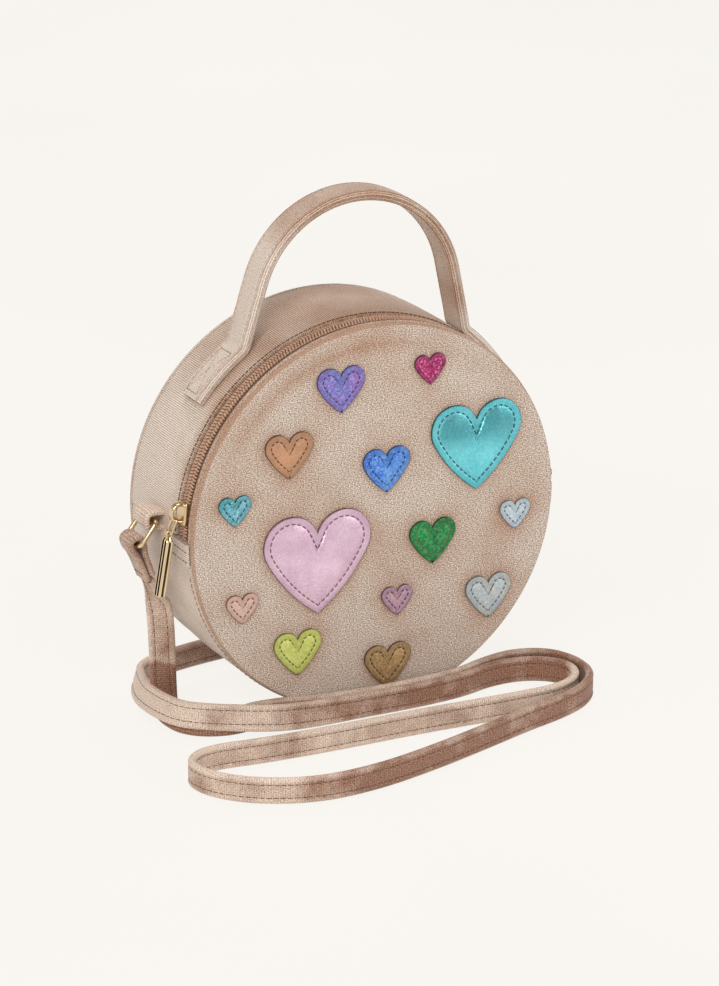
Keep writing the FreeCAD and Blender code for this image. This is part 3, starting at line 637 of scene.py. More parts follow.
def front_skin(x, z):
    """Where the front panel's face is: domed, a little uneven, hollow and beaded inside the upper rim."""
    distance = math.hypot(x, z - CENTRE_HEIGHT)
    reach = min(1.0, distance / RADIUS)
    ripple = 0.4 * uneven(Vector((x, 0, z)), 26)
    upper = ease((z - CENTRE_HEIGHT) / RADIUS, 0.35, 0.75)
    hollow = upper * 0.45 * math.exp(-((distance - 80.5) / 3.6) ** 2)
    bead = upper * 0.35 * math.exp(-((distance - 86.3) / 2.0) ** 2)
    return FRONT_FACE - (FRONT_DOME + ripple) * (1 - reach * reach) + hollow - bead


def pressed_skin(x, z):
    """The front panel's face between the patches, pulled in along their edges."""
    return front_skin(x, z) + 0.45 * pressed(x, z)


def back_skin(x, z):
    reach = min(1.0, math.hypot(x, z - CENTRE_HEIGHT) / RADIUS)
    ripple = 0.3 * uneven(Vector((x, 50, z)), 30)
    return BACK_FACE + (BACK_DOME + ripple) * (1 - reach * reach)


def round_panel(name, skin, seam, material):
    """A round face: domed skin, tightly rolled rim, a tuck at the seam, and a flat inside."""
    face_edge = RADIUS - 1.3
    columns = steps(0, 360, 240)[:-1]
    inward = 1 if seam < 0 else -1
    rows = []
    radii = []
    side = ((face_edge + 0.3, 0.1), (face_edge + 0.5, 0.35), (face_edge + 0.75, 0.9), (RADIUS - 0.15, 1.7))
    face = [(reach, 0.0) for reach in [MIDDLE] + steps(3, 87, 28) + [face_edge]]
    for radius, drop in face + list(side):
        row = [on_rim(radius, a, 0) for a in columns]
        for point in row:
            point.y = skin(point.x, point.z) + inward * drop
        rows.append(row)
        radii.append(radius + drop)
    tuck = ((RADIUS, 0.6), (RADIUS - 0.25, 0.25), (RADIUS - 1.0, 0.08), (86.5, 0.1), (60, 0.1),
            (MIDDLE, 0.1))
    for radius, gap in tuck:
        rows.append([on_rim(radius, a, seam - inward * gap) for a in columns])
        radii.append(radii[-1] + 1)
    for row in rows:
        for point in row:
            point.z = max(point.z, FLOOR_GAP)

    def spot(i, j):
        turn = math.tau * j / len(columns)
        return radii[i] * math.cos(turn) * MM, radii[i] * math.sin(turn) * MM

    return grid(name, rows, spot, material, wrap=True, sharp=80)


def front_nap_and_shade(point):
    """Painted shade in the valley inside the upper rim and round each pressed-in patch; browner along the
    upper rim and over the rolled edge; a little nap all over.
    """
    distance = math.hypot(point.x, point.z - CENTRE_HEIGHT)
    upper = ease((point.z - CENTRE_HEIGHT) / RADIUS, 0.3, 0.7)
    leftwards = 0.35 + 0.65 * ease(-point.x, -45, 25)
    # hollow is painted shade in the valley; the pressed term below is painted shade round each patch
    hollow = 0.85 * upper * leftwards * math.exp(-((distance - 81) / 4.2) ** 2)
    edge = 0.8 * ease(distance, 88.8, 89.2) + 0.3 * upper * ease(distance, 80, 86)
    return 0.1 + max(hollow, edge, 0.55 * pressed(point.x, point.z))


def gusset_nap_and_shade(point):
    """Nap on the gusset is brushed up over the top and a little underneath; beside the zip it is painted
    shade under the zip's folded edge.
    """
    rise = (point.z - CENTRE_HEIGHT) / RADIUS
    # painted shade along the gusset's folded edge at the zip
    zip_fold_shade = ease(rise, 0.1, 0.4) * ease(-point.y, 8, 16)
    return max(0.8 * ease(rise, 0.5, 0.95), 0.6 * zip_fold_shade, 0.2 * ease(-rise, 0.2, 0.9))


def rim_band(name, radii, angles, depths, material, crown=0.0, tuck=0.0, ripple=0.0, crease=0.0):
    """A band round the bag: crowned, tucked in at its seams, creased near its front edge.

    It has an outer and an inner radius, and runs between two angles and between two depths.
    """
    outer, inner = radii
    start, end = angles
    front, back = depths
    count = max(8, round(abs(end - start) / 1.5))
    width = back - front
    across = 30
    shares = [0.5 - 0.5 * math.cos(math.pi * k / across) for k in range(across + 1)]
    rows = []
    for angle in steps(start, end, count):
        row = []
        for share in shares:
            depth = front + width * share
            edge = min(share, 1 - share) * width
            radius = outer + crown * (1 - (2 * share - 1) ** 2) - tuck * math.exp(-(edge / 1.1) ** 2)
            radius -= crease * math.exp(-((depth - front - 5) / 0.7) ** 2)
            point = on_rim(radius, angle, depth)
            point += outward(angle) * ripple * uneven(point, 22, 7.0) * min(1.0, edge / 6)
            point.z = max(point.z, FLOOR_GAP)
            row.append(point)
        for share in reversed(shares):
            row.append(on_rim(inner, angle, front + width * share))
        rows.append(row)

    def spot(i, j):
        around = outer * math.radians(abs(end - start)) * i / count
        place = min(j, 2 * across + 1 - j) if j < 2 * across + 2 else 0
        return around * MM, (front + width * shares[place]) * MM

    return grid(name, rows, spot, material, wrap=True, ends=True, sharp=60)


def flat_disc(name, radius, front, back, material):
    """A round sheet of lining with slack in it."""
    columns = steps(0, 360, 96)[:-1]
    radii = (MIDDLE, 15, 30, 45, 58, 70, 80, radius)
    middle = (front + back) / 2
    half = (back - front) / 2
    rows = []
    for side in (-1, 1):
        for reach in radii if side < 0 else reversed(radii):
            row = [on_rim(reach, a, middle + side * half * 0.5) for a in columns]
            for point in row:
                point.y += half * 0.4 * uneven(Vector((point.x, 0, point.z)), 17)
            rows.append(row)
    reaches = list(radii) + list(reversed(radii))

    def spot(i, j):
        turn = math.tau * j / len(columns)
        return reaches[i] * math.cos(turn) * MM, reaches[i] * math.sin(turn) * MM

    return grid(name, rows, spot, material, wrap=True)


def folds_with_flap(piece, *nodes):
    """The piece bends where the front folds open."""
    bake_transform(piece, "bag", "front_flap", metres((0, FRONT_FACE, FOLD_HEIGHT - 3)),
             metres((0, FRONT_FACE, FOLD_HEIGHT + 6)))
    if nodes:
        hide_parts(*nodes)


def tape_lifts(piece, *nodes):
    """The tape's sewn edge folds with the front, and the edge with the teeth folds higher up."""
    sewn_edge = Vector((0, TAPE_SEWN_EDGE, FOLD_HEIGHT - 3))
    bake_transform(piece, "bag", "front_flap", metres(sewn_edge), metres(sewn_edge + Vector((0, -3.6, 1.8))))
    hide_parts(*nodes)


def teeth_leave_slider(piece, *nodes):
    """The front row of teeth parts from the rear one just above the slider."""
    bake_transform(piece, "bag", "front_flap", metres((0, FRONT_FACE, FOLD_HEIGHT + 11)),
             metres((0, FRONT_FACE, FOLD_HEIGHT + 20)))
    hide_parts(*nodes)


def stays_on_bag(piece, *nodes):
    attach(piece, "bag")
    if nodes:
        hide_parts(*nodes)


def sew_to_bag(name, seams, material, dash, gap, size):
    """Stitches that stay with the bag's velvet."""
    sewn = stitches(name, seams, material, dash, gap, size)
    stays_on_bag(sewn)


def make_panels():
    front = round_panel("front_panel", pressed_skin, FRONT_SEAM, PANEL_VELVET)
    brush_and_shade(front, front_nap_and_shade)
    folds_with_flap(front, "front_panel_lower", "front_panel_upper")
    back = round_panel("back_panel", back_skin, BACK_SEAM, PANEL_VELVET)
    brush_and_shade(back, lambda point: 0.15)
    stays_on_bag(back, "back_panel")
    front_lining = flat_disc("front_lining", LINING_DISC, -28.8, -28.0, LINING_CLOTH)
    folds_with_flap(front_lining, "front_lining_lower", "front_lining_upper")
    stays_on_bag(flat_disc("back_lining", LINING_DISC, 29.8, 30.6, LINING_CLOTH), "back_lining")
    ring = steps(0, 360, 120)[:-1]
    wide = [outward(a) for a in ring]
    profile = band_profile(BINDING_WIDTH, BINDING_THICKNESS, 1.1, 0.2, 10)
    for name, depth in (("front_binding", -26.45), ("back_binding", 28.25)):
        line = [on_rim(BINDING_RADIUS, a, depth) for a in ring]
        binding = sweep(name, line, wide, profile, BINDING_TAPE, closed=True)
        if name == "front_binding":
            folds_with_flap(binding, "front_binding_lower", "front_binding_upper")
        else:
            stays_on_bag(binding, "back_binding")


def make_gussets():
    whole_depth = (FRONT_SEAM, BACK_SEAM)
    lower = rim_band("lower_gusset", (RADIUS - 0.3, GUSSET_INSIDE), LOWER_ANGLES, whole_depth, GUSSET_VELVET,
                     crown=0.7, tuck=0.7, ripple=0.5)
    brush_and_shade(lower, gusset_nap_and_shade)
    stays_on_bag(lower, "lower_gusset")
    rear = rim_band("rear_zip_gusset", (RADIUS - 0.2, GUSSET_INSIDE), ZIP_ANGLES, (ZIP_REAR_EDGE, BACK_SEAM),
                    GUSSET_VELVET, crown=0.9, tuck=0.5, ripple=0.6, crease=0.35)
    brush_and_shade(rear, gusset_nap_and_shade)
    stays_on_bag(rear, "rear_zip_gusset")
    front = rim_band("front_zip_gusset", (RADIUS - 0.1, GUSSET_INSIDE), ZIP_ANGLES,
                     (FRONT_SEAM, ZIP_FRONT_EDGE), PANEL_VELVET, crown=0.25, tuck=0.6)
    brush_and_shade(front, lambda point: 0.7)
    folds_with_flap(front, "front_zip_gusset")
    lining_radii = (LINING_RADIUS, LINING_INSIDE)
    for name, angles, depths in (("lower_gusset_lining", LOWER_ANGLES, whole_depth),
                                 ("rear_zip_lining", ZIP_ANGLES, (-12.2, BACK_SEAM))):
        lining = rim_band(name, lining_radii, angles, depths, LINING_CLOTH, ripple=0.2)
        stays_on_bag(lining, name)
    boards = ("front_board_lower", "front_board_upper", "back_board", "lower_gusset_board", "rear_zip_board")
    for node in boards:
        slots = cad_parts[node].data.materials
        slots.clear()
        slots.append(BOARD)
    arc = steps(-9, -171, 220)
    seam = ([on_rim(RADIUS, a, FRONT_SEAM + 2.6) for a in arc], [outward(a) for a in arc], False)
    for point in seam[0]:
        point.z = max(point.z, 0.15)
    sew_to_bag("gusset_topstitch", [seam], SEAM_THREAD, 2.2, 0.8, 0.18)


# Zip

def coil(name, side):
    """One row of the zip: a wire wound round its tape's edge, one turn for each tooth."""
    pitch = 1.5
    per_turn = 10
    first, last = 178.6, 1.4
    turns = round(math.radians(first - last) * 89 / pitch)
    line = []
    wide = []
    for k in range(turns * per_turn + 1):
        angle = first + (last - first) * k / (turns * per_turn)
        phase = math.tau * k / per_turn + (math.pi if side > 0 else 0)
        depth = ZIP_MIDDLE + side * (1.7 + 1.15 * math.cos(phase))
        line.append(on_rim(88.85 + 0.5 * math.sin(phase), angle, depth))
        wide.append(outward(angle) * math.sin(phase) + DEPTH * side * math.cos(phase))
    return sweep(name, line, wide, round_profile(0.46, 6), COIL)


def make_zip():
    tape_radii = (TAPE_OUTSIDE, TAPE_INSIDE)
    front_tape = rim_band("zip_tape_front", tape_radii, ZIP_ANGLES, (TAPE_SEWN_EDGE, -21.9), ZIP_TAPE)
    tape_lifts(front_tape, "zip_tape_front", "zip_tape_end_left", "zip_tape_end_right")
    rear_tape = rim_band("zip_tape_rear", tape_radii, ZIP_ANGLES, (-20.7, -12.5), ZIP_TAPE)
    stays_on_bag(rear_tape, "zip_tape_rear")
    arc = steps(178, 2, 240)
    # Dark thread rows at the folded edges beside the zip: stitches that also stand in for the shade under
    # the folds
    for name, depth in (("rear", -15.1), ("front", -27.3)):
        edge = ([on_rim(89.8, a, depth) for a in arc], [outward(a) for a in arc], False)
        sewn = stitches(f"zip_seam_{name}", [edge], THREAD, 1.9, 0.4, 0.24)
        if name == "front":
            folds_with_flap(sewn)
        else:
            stays_on_bag(sewn)
    front_coil = coil("zip_teeth_front", -1)
    teeth_leave_slider(front_coil, "zip_teeth_front", "zip_teeth_end_left", "zip_teeth_end_right")
    stays_on_bag(coil("zip_teeth_rear", 1), "zip_teeth_rear")
    for name, start, end in (("left", 179, 185.4), ("right", 1, -5.4)):
        tab = rim_band(f"zip_end_tab_{name}", (END_TAB_OUTSIDE, END_TAB_INSIDE), (start, end),
                       (-30.2, -13.8), GUSSET_VELVET, tuck=0.5, ripple=0.2)
        brush_and_shade(tab, lambda point: -0.2)
        stays_on_bag(tab, f"zip_end_tab_{name}")
        rows = []
        for share in (0.34, 0.8):
            angle = start + (end - start) * share
            line = [on_rim(91.35, angle, depth) for depth in steps(-29.8, -14.4, 12)]
            rows.append((line, [outward(angle)] * len(line), False))
        sew_to_bag(f"zip_end_stitches_{name}", rows, THREAD, 2.0, 0.6, 0.22)


SLIDER_ANGLE = 171.2


def at_slider(ahead, side, radius):
    """A place on the slider: ahead towards the closed chain, side along the depth, radius round the bag."""
    turn = math.radians(SLIDER_ANGLE)
    forward = Vector((math.sin(turn), 0, -math.cos(turn)))
    return on_rim(radius, SLIDER_ANGLE, ZIP_MIDDLE + side) + forward * ahead


def slider_block(name, rows, rounding):
    def spot(i, j):
        return i * 0.002, j * 0.001

    return soften(grid(name, rows, spot, GOLD, wrap=True, ends=True, sharp=35), rounding)


def make_slider():
    """The slider: an upper plate with side walls, a lower plate, the post between them and the bridge."""
    skirt, roof, shoulder = 88.4, 89.95, 90.5
    sole_inside, sole_outside = 86.0, 86.8
    half_length = 5.0
    half_widths = ((-half_length, 3.7), (-4.5, 4.3), (-2.5, 4.4), (0, 4.2), (2.2, 3.8), (4.4, 3.6),
                   (half_length, 3.2))
    plate_rows = []
    sole_rows = []
    for ahead, half in half_widths:
        top = 90.75 if abs(ahead) == half_length else 91.1
        wall = half - 0.8
        plate = ((-half, skirt), (-half, shoulder), (-half + 0.5, top), (half - 0.5, top), (half, shoulder),
                 (half, skirt), (wall, skirt), (wall, roof), (-wall, roof), (-wall, skirt))
        plate_rows.append([at_slider(ahead, side, radius) for side, radius in plate])
        edge = half - 0.4
        sole = ((-edge, sole_inside), (-edge, sole_outside), (edge, sole_outside), (edge, sole_inside))
        sole_rows.append([at_slider(ahead, side, radius) for side, radius in sole])
    body = slider_block("slider_plate", plate_rows, 0.2)
    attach(body, "zip_slider")
    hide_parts("slider")
    wedge = ((-4.7, -0.45), (-2.8, -0.45), (-1.9, 0.0), (-2.8, 0.45), (-4.7, 0.45))
    post_rows = [[at_slider(ahead, side, radius) for ahead, side in wedge] for radius in (86.5, 90.2)]
    arch = []
    for k in range(25):
        turn = math.pi * k / 24
        rise = math.sin(turn) ** 0.62
        arch.append(at_slider(-3.9 * math.cos(turn), 0, 90.9 + 4.7 * rise))
    lower_plate = slider_block("slider_sole", sole_rows, 0.15)
    post = slider_block("slider_post", post_rows, 0.1)
    crown = sweep("slider_crown", arch, [DEPTH] * len(arch), band_profile(3.6, 1.5, count=10), GOLD)
    for piece in (lower_plate, post, crown):
        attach(piece, "zip_slider")


LINK_TOP = Vector((-92.561, ZIP_MIDDLE, 101.151))
PULL_PIVOT = Vector((-95.731, ZIP_MIDDLE, 94.354))


def rounded_loop(middle, side, down, half_side, half_down, corner):
    """A closed line: a rectangle with round corners."""
    line = []
    for sign_side, sign_down, begin in ((1, 1, 0), (-1, 1, 90), (-1, -1, 180), (1, -1, 270)):
        for k in range(7):
            turn = math.radians(begin + 15 * k)
            a = sign_side * (half_side - corner) + corner * math.cos(turn)
            b = sign_down * (half_down - corner) + corner * math.sin(turn)
            line.append(middle + side * a + down * b)
    return line


def make_link():
    middle = (LINK_TOP + PULL_PIVOT) / 2
    down = (PULL_PIVOT - LINK_TOP).normalized()
    loop = rounded_loop(middle, DEPTH, down, 2.25, 3.75, 1.5)
    flat = [down.cross(DEPTH)] * len(loop)
    link = sweep("pull_link", loop, flat, round_profile(0.6, 10), GOLD, closed=True)
    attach(link, "slider_link")
    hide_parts("pull_link")


def make_pull():
    """The pull: an eye round the link, and a long bar with flutes on each face and side, with painted shade
    in the flutes.
    """
    lean = math.radians(10)
    drop = Vector((-math.sin(lean), 0, -math.cos(lean)))
    face = Vector((-math.cos(lean), 0, math.sin(lean)))
    eye = []
    for k in range(24):
        turn = math.tau * k / 24
        eye.append(PULL_PIVOT + drop * 1.75 * math.cos(turn) + face * 1.35 * math.sin(turn))
    ring = sweep("pull_eye", eye, [DEPTH] * len(eye), band_profile(2.2, 0.8, count=8), GOLD, closed=True)
    quarter = ((2.5, 0.55), (2.5, 1.3), (2.25, 1.6), (1.9, 1.6), (1.7, 0.85), (0.6, 0.85), (0.4, 1.6))
    half = quarter + tuple((-a, b) for a, b in reversed(quarter)) + ((-2.0, 0.0),)
    outline = half + tuple((-a, -b) for a, b in half)
    flutes_start, flutes_end = 3.4, 28.4
    stations = ((1.5, 0.5), (2.2, 0.75), (2.9, 0.95), (flutes_start, 1.0), (12, 1.0), (20, 1.0),
                (flutes_end, 1.0), (28.8, 0.9))
    rows = []
    for reach, size in stations:
        rows.append([PULL_PIVOT + drop * reach + (DEPTH * a + face * b) * size for a, b in outline])

    def spot(i, j):
        return stations[i][0] * MM, j * 0.001

    bar = grid("pull_bar", rows, spot, GOLD, wrap=True, ends=True, sharp=25)
    bar.data.materials.append(GOLD_FLUTE_SHADE)
    # Faces inside the flutes take the dark gold: painted shade
    for polygon in bar.data.polygons:
        place = polygon.center / MM - PULL_PIVOT
        aside = abs(place.dot(DEPTH))
        ahead = abs(place.dot(face))
        face_flute = 0.42 < aside < 1.88 and ahead < 1.45
        side_flute = aside > 2.0 and ahead < 0.5
        if (face_flute or side_flute) and flutes_start < place.dot(drop) < flutes_end - 0.1:
            polygon.material_index = 1
    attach(bar, "slider_pull")
    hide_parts("pull_bar")
    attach(ring, "slider_pull")


# Handle

HANDLE_TURN = math.radians(-3)
HANDLE_HINGE = Vector((4.494, CARRY_LINE, 174.953))
HANDLE_WIDTH = 17.5
HANDLE_SEAM = 2.3


def turned(x, rise):
    """A place on the handle's own upright drawing, turned a little to the right about the bag's middle."""
    return Vector((x * math.cos(HANDLE_TURN) - rise * math.sin(HANDLE_TURN), CARRY_LINE,
                   CENTRE_HEIGHT + x * math.sin(HANDLE_TURN) + rise * math.cos(HANDLE_TURN)))


def handle_line():
    """The middle of the band: foot, bend, leg, arch, leg, bend, foot."""
    foot = 92.7
    leg_foot, leg_top = (51.9, 87), (47.5, 103.9)
    knee = (54.2, 78.2)
    arch_radius, arch_rise = 49.06, 91.62
    line = [on_rim(foot, a, CARRY_LINE) for a in steps(142.1, 126, 16)]
    left_foot, left_top = (turned(-x, rise) for x, rise in (leg_foot, leg_top))
    right_foot, right_top = (turned(x, rise) for x, rise in (leg_foot, leg_top))
    bend = [on_rim(foot, a, CARRY_LINE) for a in (126, 123.2)] + [turned(-knee[0], knee[1]), left_foot]
    line += smooth_bend(bend)[1:]
    line += [left_foot.lerp(left_top, share) for share in steps(0, 1, 5)][1:-1]
    for angle in steps(165.5, 14.5, 60):
        turn = math.radians(angle)
        line.append(turned(arch_radius * math.cos(turn), arch_rise + arch_radius * math.sin(turn)))
    line += [right_top.lerp(right_foot, share) for share in steps(0, 1, 5)][1:-1]
    bend = [right_foot, turned(*knee)] + [on_rim(foot, a, CARRY_LINE) for a in (50.8, 48)]
    line += smooth_bend(bend)
    line += [on_rim(foot, a, CARRY_LINE) for a in steps(48, 31.9, 16)][1:]
    return line


def handle_profile():
    """Two padded layers sewn together near their edges: a groove runs along each edge between them."""
    half = HANDLE_WIDTH / 2
    outline = []
    for side in (1, -1):
        layer = []
        for k in range(25):
            a = half * math.cos(math.pi * k / 24)
            edge = half - abs(a)
            height = 0.12 + 2.1 * min(1.0, edge / 1.2) ** 0.5 + 0.25 * (1 - (a / half) ** 2)
            height -= 0.35 * math.exp(-((edge - HANDLE_SEAM) / 0.7) ** 2)
            layer.append((a * side, height * side))
        outline += layer
        outline.append(((0.7 - half) * side, 0.0))
    return outline


def handle_nap(point):
    """The handle is pale on its left leg, and brushed up over the top and down the right leg."""
    top = 0.75 * ease(point.z, 205, 226)
    right = 0.75 * ease(point.x, 20, 45) * ease(point.z, 165, 180)
    return max(top, right) - 0.05


def brush_and_shade_handle(band):
    """The handle's own nap, with painted shade in the groove between its layers, and browner at the corners
    of each edge.
    """
    brush_and_shade(band, handle_nap)
    profile = handle_profile()
    for i, value in enumerate(band.data.attributes["brushed"].data):
        across, height = profile[i % len(profile)]
        edge = HANDLE_WIDTH / 2 - abs(across)
        # painted shade in the groove between the layers; browner near each edge's corner
        groove = 0.9 if height == 0.0 else 0.55 * math.exp(-((edge - 1.2) / 0.5) ** 2)
        value.value += groove


def make_handle():
    line = handle_line()
    band = sweep("handle", line, [DEPTH] * len(line), handle_profile(), HANDLE_VELVET)
    brush_and_shade_handle(band)
    rise = Vector((math.sin(-HANDLE_TURN), 0, math.cos(HANDLE_TURN)))
    start = metres(HANDLE_HINGE - rise * 6)
    end = metres(HANDLE_HINGE + rise * 8)
    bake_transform(band, "bag", "handle", start, end)
    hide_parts("handle_upper_layer", "handle_under_layer", "handle_foot_left", "handle_foot_right")
    normals = []
    for i in range(len(line)):
        normals.append(DEPTH.cross(direction_at(line, i).normalized()) * -1)
    if normals[len(line) // 2].z < 0:
        normals = [normal * -1 for normal in normals]
    seams = []
    for side in (HANDLE_SEAM - HANDLE_WIDTH / 2, HANDLE_WIDTH / 2 - HANDLE_SEAM):
        for face in (1, -1):
            row = [point + DEPTH * side + normal * face * 1.95 for point, normal in zip(line, normals)]
            seams.append((row, [normal * face for normal in normals], False))
    sewn = stitches("handle_stitches", seams, VELVET_THREAD, 2.2, 0.9, 0.18)
    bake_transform(sewn, "bag", "handle", start, end)
    sew_handle_foot("left", 126.5, 140.6)
    sew_handle_foot("right", 47.5, 33.4)


def sew_handle_foot(name, near, far):
    """A box of stitches with a cross in it; the ends of the box are sewn with darker thread, which also
    stands in for the shade along the box's pressed outline.
    """
    face = 95.1
    half = 5.2
    box = ((near, -half), (near, half), (far, half), (far, -half))
    corners = [on_rim(face, a, CARRY_LINE + y) for a, y in box]
    middle = (near + far) / 2
    # The darker thread at the ends is thread colour and painted shade of the pressed outline
    rows = (("ends", SEAM_THREAD, ((0, 1), (2, 3))),
            ("sides", VELVET_THREAD, ((1, 2), (3, 0), (0, 2), (1, 3))))
    for kind, material, pairs in rows:
        seams = []
        for first, second in pairs:
            stretch = [corners[first].lerp(corners[second], share) for share in steps(0, 1, 12)]
            for point in stretch:
                away = Vector((point.x, 0, point.z - CENTRE_HEIGHT))
                point += away.normalized() * (face - away.length)
            seams.append((stretch, [outward(middle)] * len(stretch), False))
        sew_to_bag(f"handle_box_{kind}_{name}", seams, material, 1.8, 0.4, 0.22)


# Rings, tabs and strap ends

def mirrored(points, side):
    return [Vector((point.x * side, point.y, point.z)) for point in points]


def soft_line(points, side):
    return smooth_bend(mirrored(points, side))


def make_tab(name, side, bar):
    """The velvet loop that holds the ring, with both its ends in the gusset."""
    out = outward(math.degrees(math.atan2(bar.z - CENTRE_HEIGHT, bar.x)))
    rise = Vector((-out.z, 0, out.x))
    foot = Vector((0, CARRY_LINE, CENTRE_HEIGHT)) + out * RADIUS
    route = ((-0.8, 3.4), (2.2, 3.4), (5.4, 3.7), (8.4, 2.6), (8.4, -2.6), (5.4, -3.5), (2.2, -3.2),
             (-0.8, -3.2))
    line = soft_line([foot + out * a + rise * b for a, b in route], side)
    profile = band_profile(12.8, 2.5, 2.2, 0.25)
    tab = sweep(f"strap_tab_{name}", line, [DEPTH] * len(line), profile, TAB_VELVET)
    brush_and_shade(tab, lambda point: 0.15)
    stays_on_bag(tab, f"strap_tab_{name}")


def make_strap_end(name, side, low_bar, fullness):
    """The strap's end, folded round the ring's low bar and sewn back on itself."""
    lean = math.radians(20)
    tail = Vector((-math.sin(lean), 0, -math.cos(lean)))
    face = Vector((math.cos(lean), 0, -math.sin(lean)))
    round_bar = 3.2 * fullness
    route = ((18.2, 1.5), (12, 1.5), (5, 1.8), (1.2, round_bar), (-round_bar, 0.8 * round_bar),
             (-round_bar, -0.8 * round_bar), (1.2, -round_bar), (5, -1.8), (11, -1.5), (16.6, -1.5))
    line = soft_line([low_bar + tail * a + face * b for a, b in route], side)
    profile = band_profile(STRAP_WIDTH, 2.7, 2.8, 0.3)
    fold = sweep(f"strap_end_{name}", line, [DEPTH] * len(line), profile, TAB_VELVET)
    brush_and_shade(fold, lambda point: 0.65)
    seams = []
    for reach in (7.5, 14.5):
        for layer in (1, -1):
            spot = low_bar + tail * reach + face * layer * 2.75
            row = mirrored([spot + DEPTH * a for a in steps(-4.6, 4.6, 8)], side)
            normal = mirrored([face * layer], side)[0]
            seams.append((row, [normal] * len(row), False))
    sewn = stitches(f"strap_end_stitches_{name}", seams, THREAD, 1.8, 0.6, 0.2)
    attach(fold, f"{name}_ring")
    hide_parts(f"strap_end_{name}")
    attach(sewn, f"{name}_ring")


def make_ring_side(name, side):
    """One side's tab, ring and folded strap end, drawn for the right and mirrored for the left."""
    bar = Vector((94.8, CARRY_LINE, 94.5))
    low_bar = Vector((102.804, CARRY_LINE, 84.256))
    down = (low_bar - bar).normalized()
    loop = mirrored(rounded_loop((bar + low_bar) / 2, DEPTH, down, 7.8, 6.5, 2.2), side)
    flat = Vector((down.z * side, 0, -down.x))
    ring = sweep(f"ring_{name}", loop, [flat] * len(loop), round_profile(1.1, 12), GOLD, closed=True)
    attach(ring, f"{name}_ring")
    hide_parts(f"ring_{name}")
    make_tab(name, side, bar)
    make_strap_end(name, side, low_bar, 1.0 if side < 0 else 0.75)


# Shoulder strap, one strap made as two pieces that meet behind the bag

LEFT_DROP = ((-96.545, 1.4, 67.06), (-89.95, 4.0, 54.9), (-88.6, 4.5, 41.4), (-88.0, 4.8, 27),
             (-88.2, 4.0, 11))
RIGHT_DROP = ((74.6, 28.7, 9.0), (81.4, 20.2, 19.4), (88.0, 12.0, 35.3), (93.1, 5.7, 51.8),
              (96.545, 1.4, 67.06))
# Across is a share of the bag's radius, ahead is millimetres before the bag, height is the strap's middle.
# The first run lies flat on the floor at its left corner, and the last one stands on it there.
FRONT_ROUTE = ((-0.985, -34, 2.2), (-1.01, -22, 2.1), (-0.98, -9, 2.1), (-0.85, -1, 2.4),
               (-0.69, -2, 5.8), (-0.53, 0, 6.6), (-0.38, 3.5, 6), (-0.2, 5.5, 6), (0, 6.5, 6),
               (0.244, 6.2, 6), (0.444, 4.6, 6), (0.6, -1, 6), (0.8, -4.5, 6), (0.978, 2, 6),
               (1.05, 17, 6), (1.033, 33, 6), (0.911, 45, 6), (0.733, 52, 6), (0.522, 57, 6),
               (0.244, 65.5, 6), (-0.067, 74.5, 6), (-0.444, 83, 6), (-0.778, 84, 6), (-1.044, 74, 6),
               (-1.2, 60, 6), (-1.256, 46, 6), (-1.2, 36, 6), (-1.067, 32.5, 6), (-0.844, 35.5, 6),
               (-0.522, 37.5, 6), (-0.2, 38, 6), (0.056, 38.5, 6), (0.322, 40, 6), (0.556, 41, 6),
               (0.789, 41, 6), (0.933, 34.5, 6), (0.989, 23, 6), (0.933, 12, 6), (0.789, 5, 6),
               (0.611, 5, 6), (0.456, 9.5, 6), (0.222, 11.5, 6), (-0.033, 11, 6), (-0.367, 10, 6),
               (-0.578, 8, 6.3), (-0.76, 4.5, 8.2), (-0.92, -1.5, 9.3), (-1.03, -10, 9.3),
               (-1.07, -24, 9.2), (-1.07, -41, 7.8), (-1.02, -57, 6.3))
BACK_ROUTE = ((-0.956, 2), (-0.711, 9), (-0.422, 13), (-0.111, 15), (0.222, 14.5), (0.533, 10.5), (0.756, 2))
STRAP_MEETING = (0.05, 14.76)
FLOOR_LINE = STRAP_WIDTH / 2
# How the nap lies, with painted shade and highlight in it, by millimetres from the left ring: 0 is pale, 1
# is brown
# 1.5 and 1.4 at 48–100 mm are painted shade on the low left drop under the loop; below 0 at 945–985 mm is a
# painted highlight inside a loop
STRAP_NAP_AND_LIGHT = ((0, 0.6), (30, 0.5), (43, 0.5), (48, 1.5), (100, 1.4), (125, 0.9), (150, 0.5), (225, 0.5),
             (250, 1.0), (300, 1.2), (380, 1.05), (445, 1.15), (505, 0.35), (540, 0.3), (590, 0.45),
             (612, 0.2), (650, 0.25), (662, 0.5), (676, 0.15), (742, 0.05), (758, 1.2), (825, 1.05),
             (880, 0.75), (930, 0.2), (945, -0.3), (985, -0.4), (1010, 0.1), (1030, 0.8), (1110, 0.8),
             (1160, 0.5), (1300, 0.4))


def floor_points():
    front = [Vector((RADIUS * x, FRONT_FACE - ahead, height)) for x, ahead, height in FRONT_ROUTE]
    back = [Vector((RADIUS * x, BACK_FACE + behind, FLOOR_LINE)) for x, behind in BACK_ROUTE]
    meeting = Vector((RADIUS * STRAP_MEETING[0], BACK_FACE + STRAP_MEETING[1], FLOOR_LINE))
    return front, back[:4], meeting, back[4:]


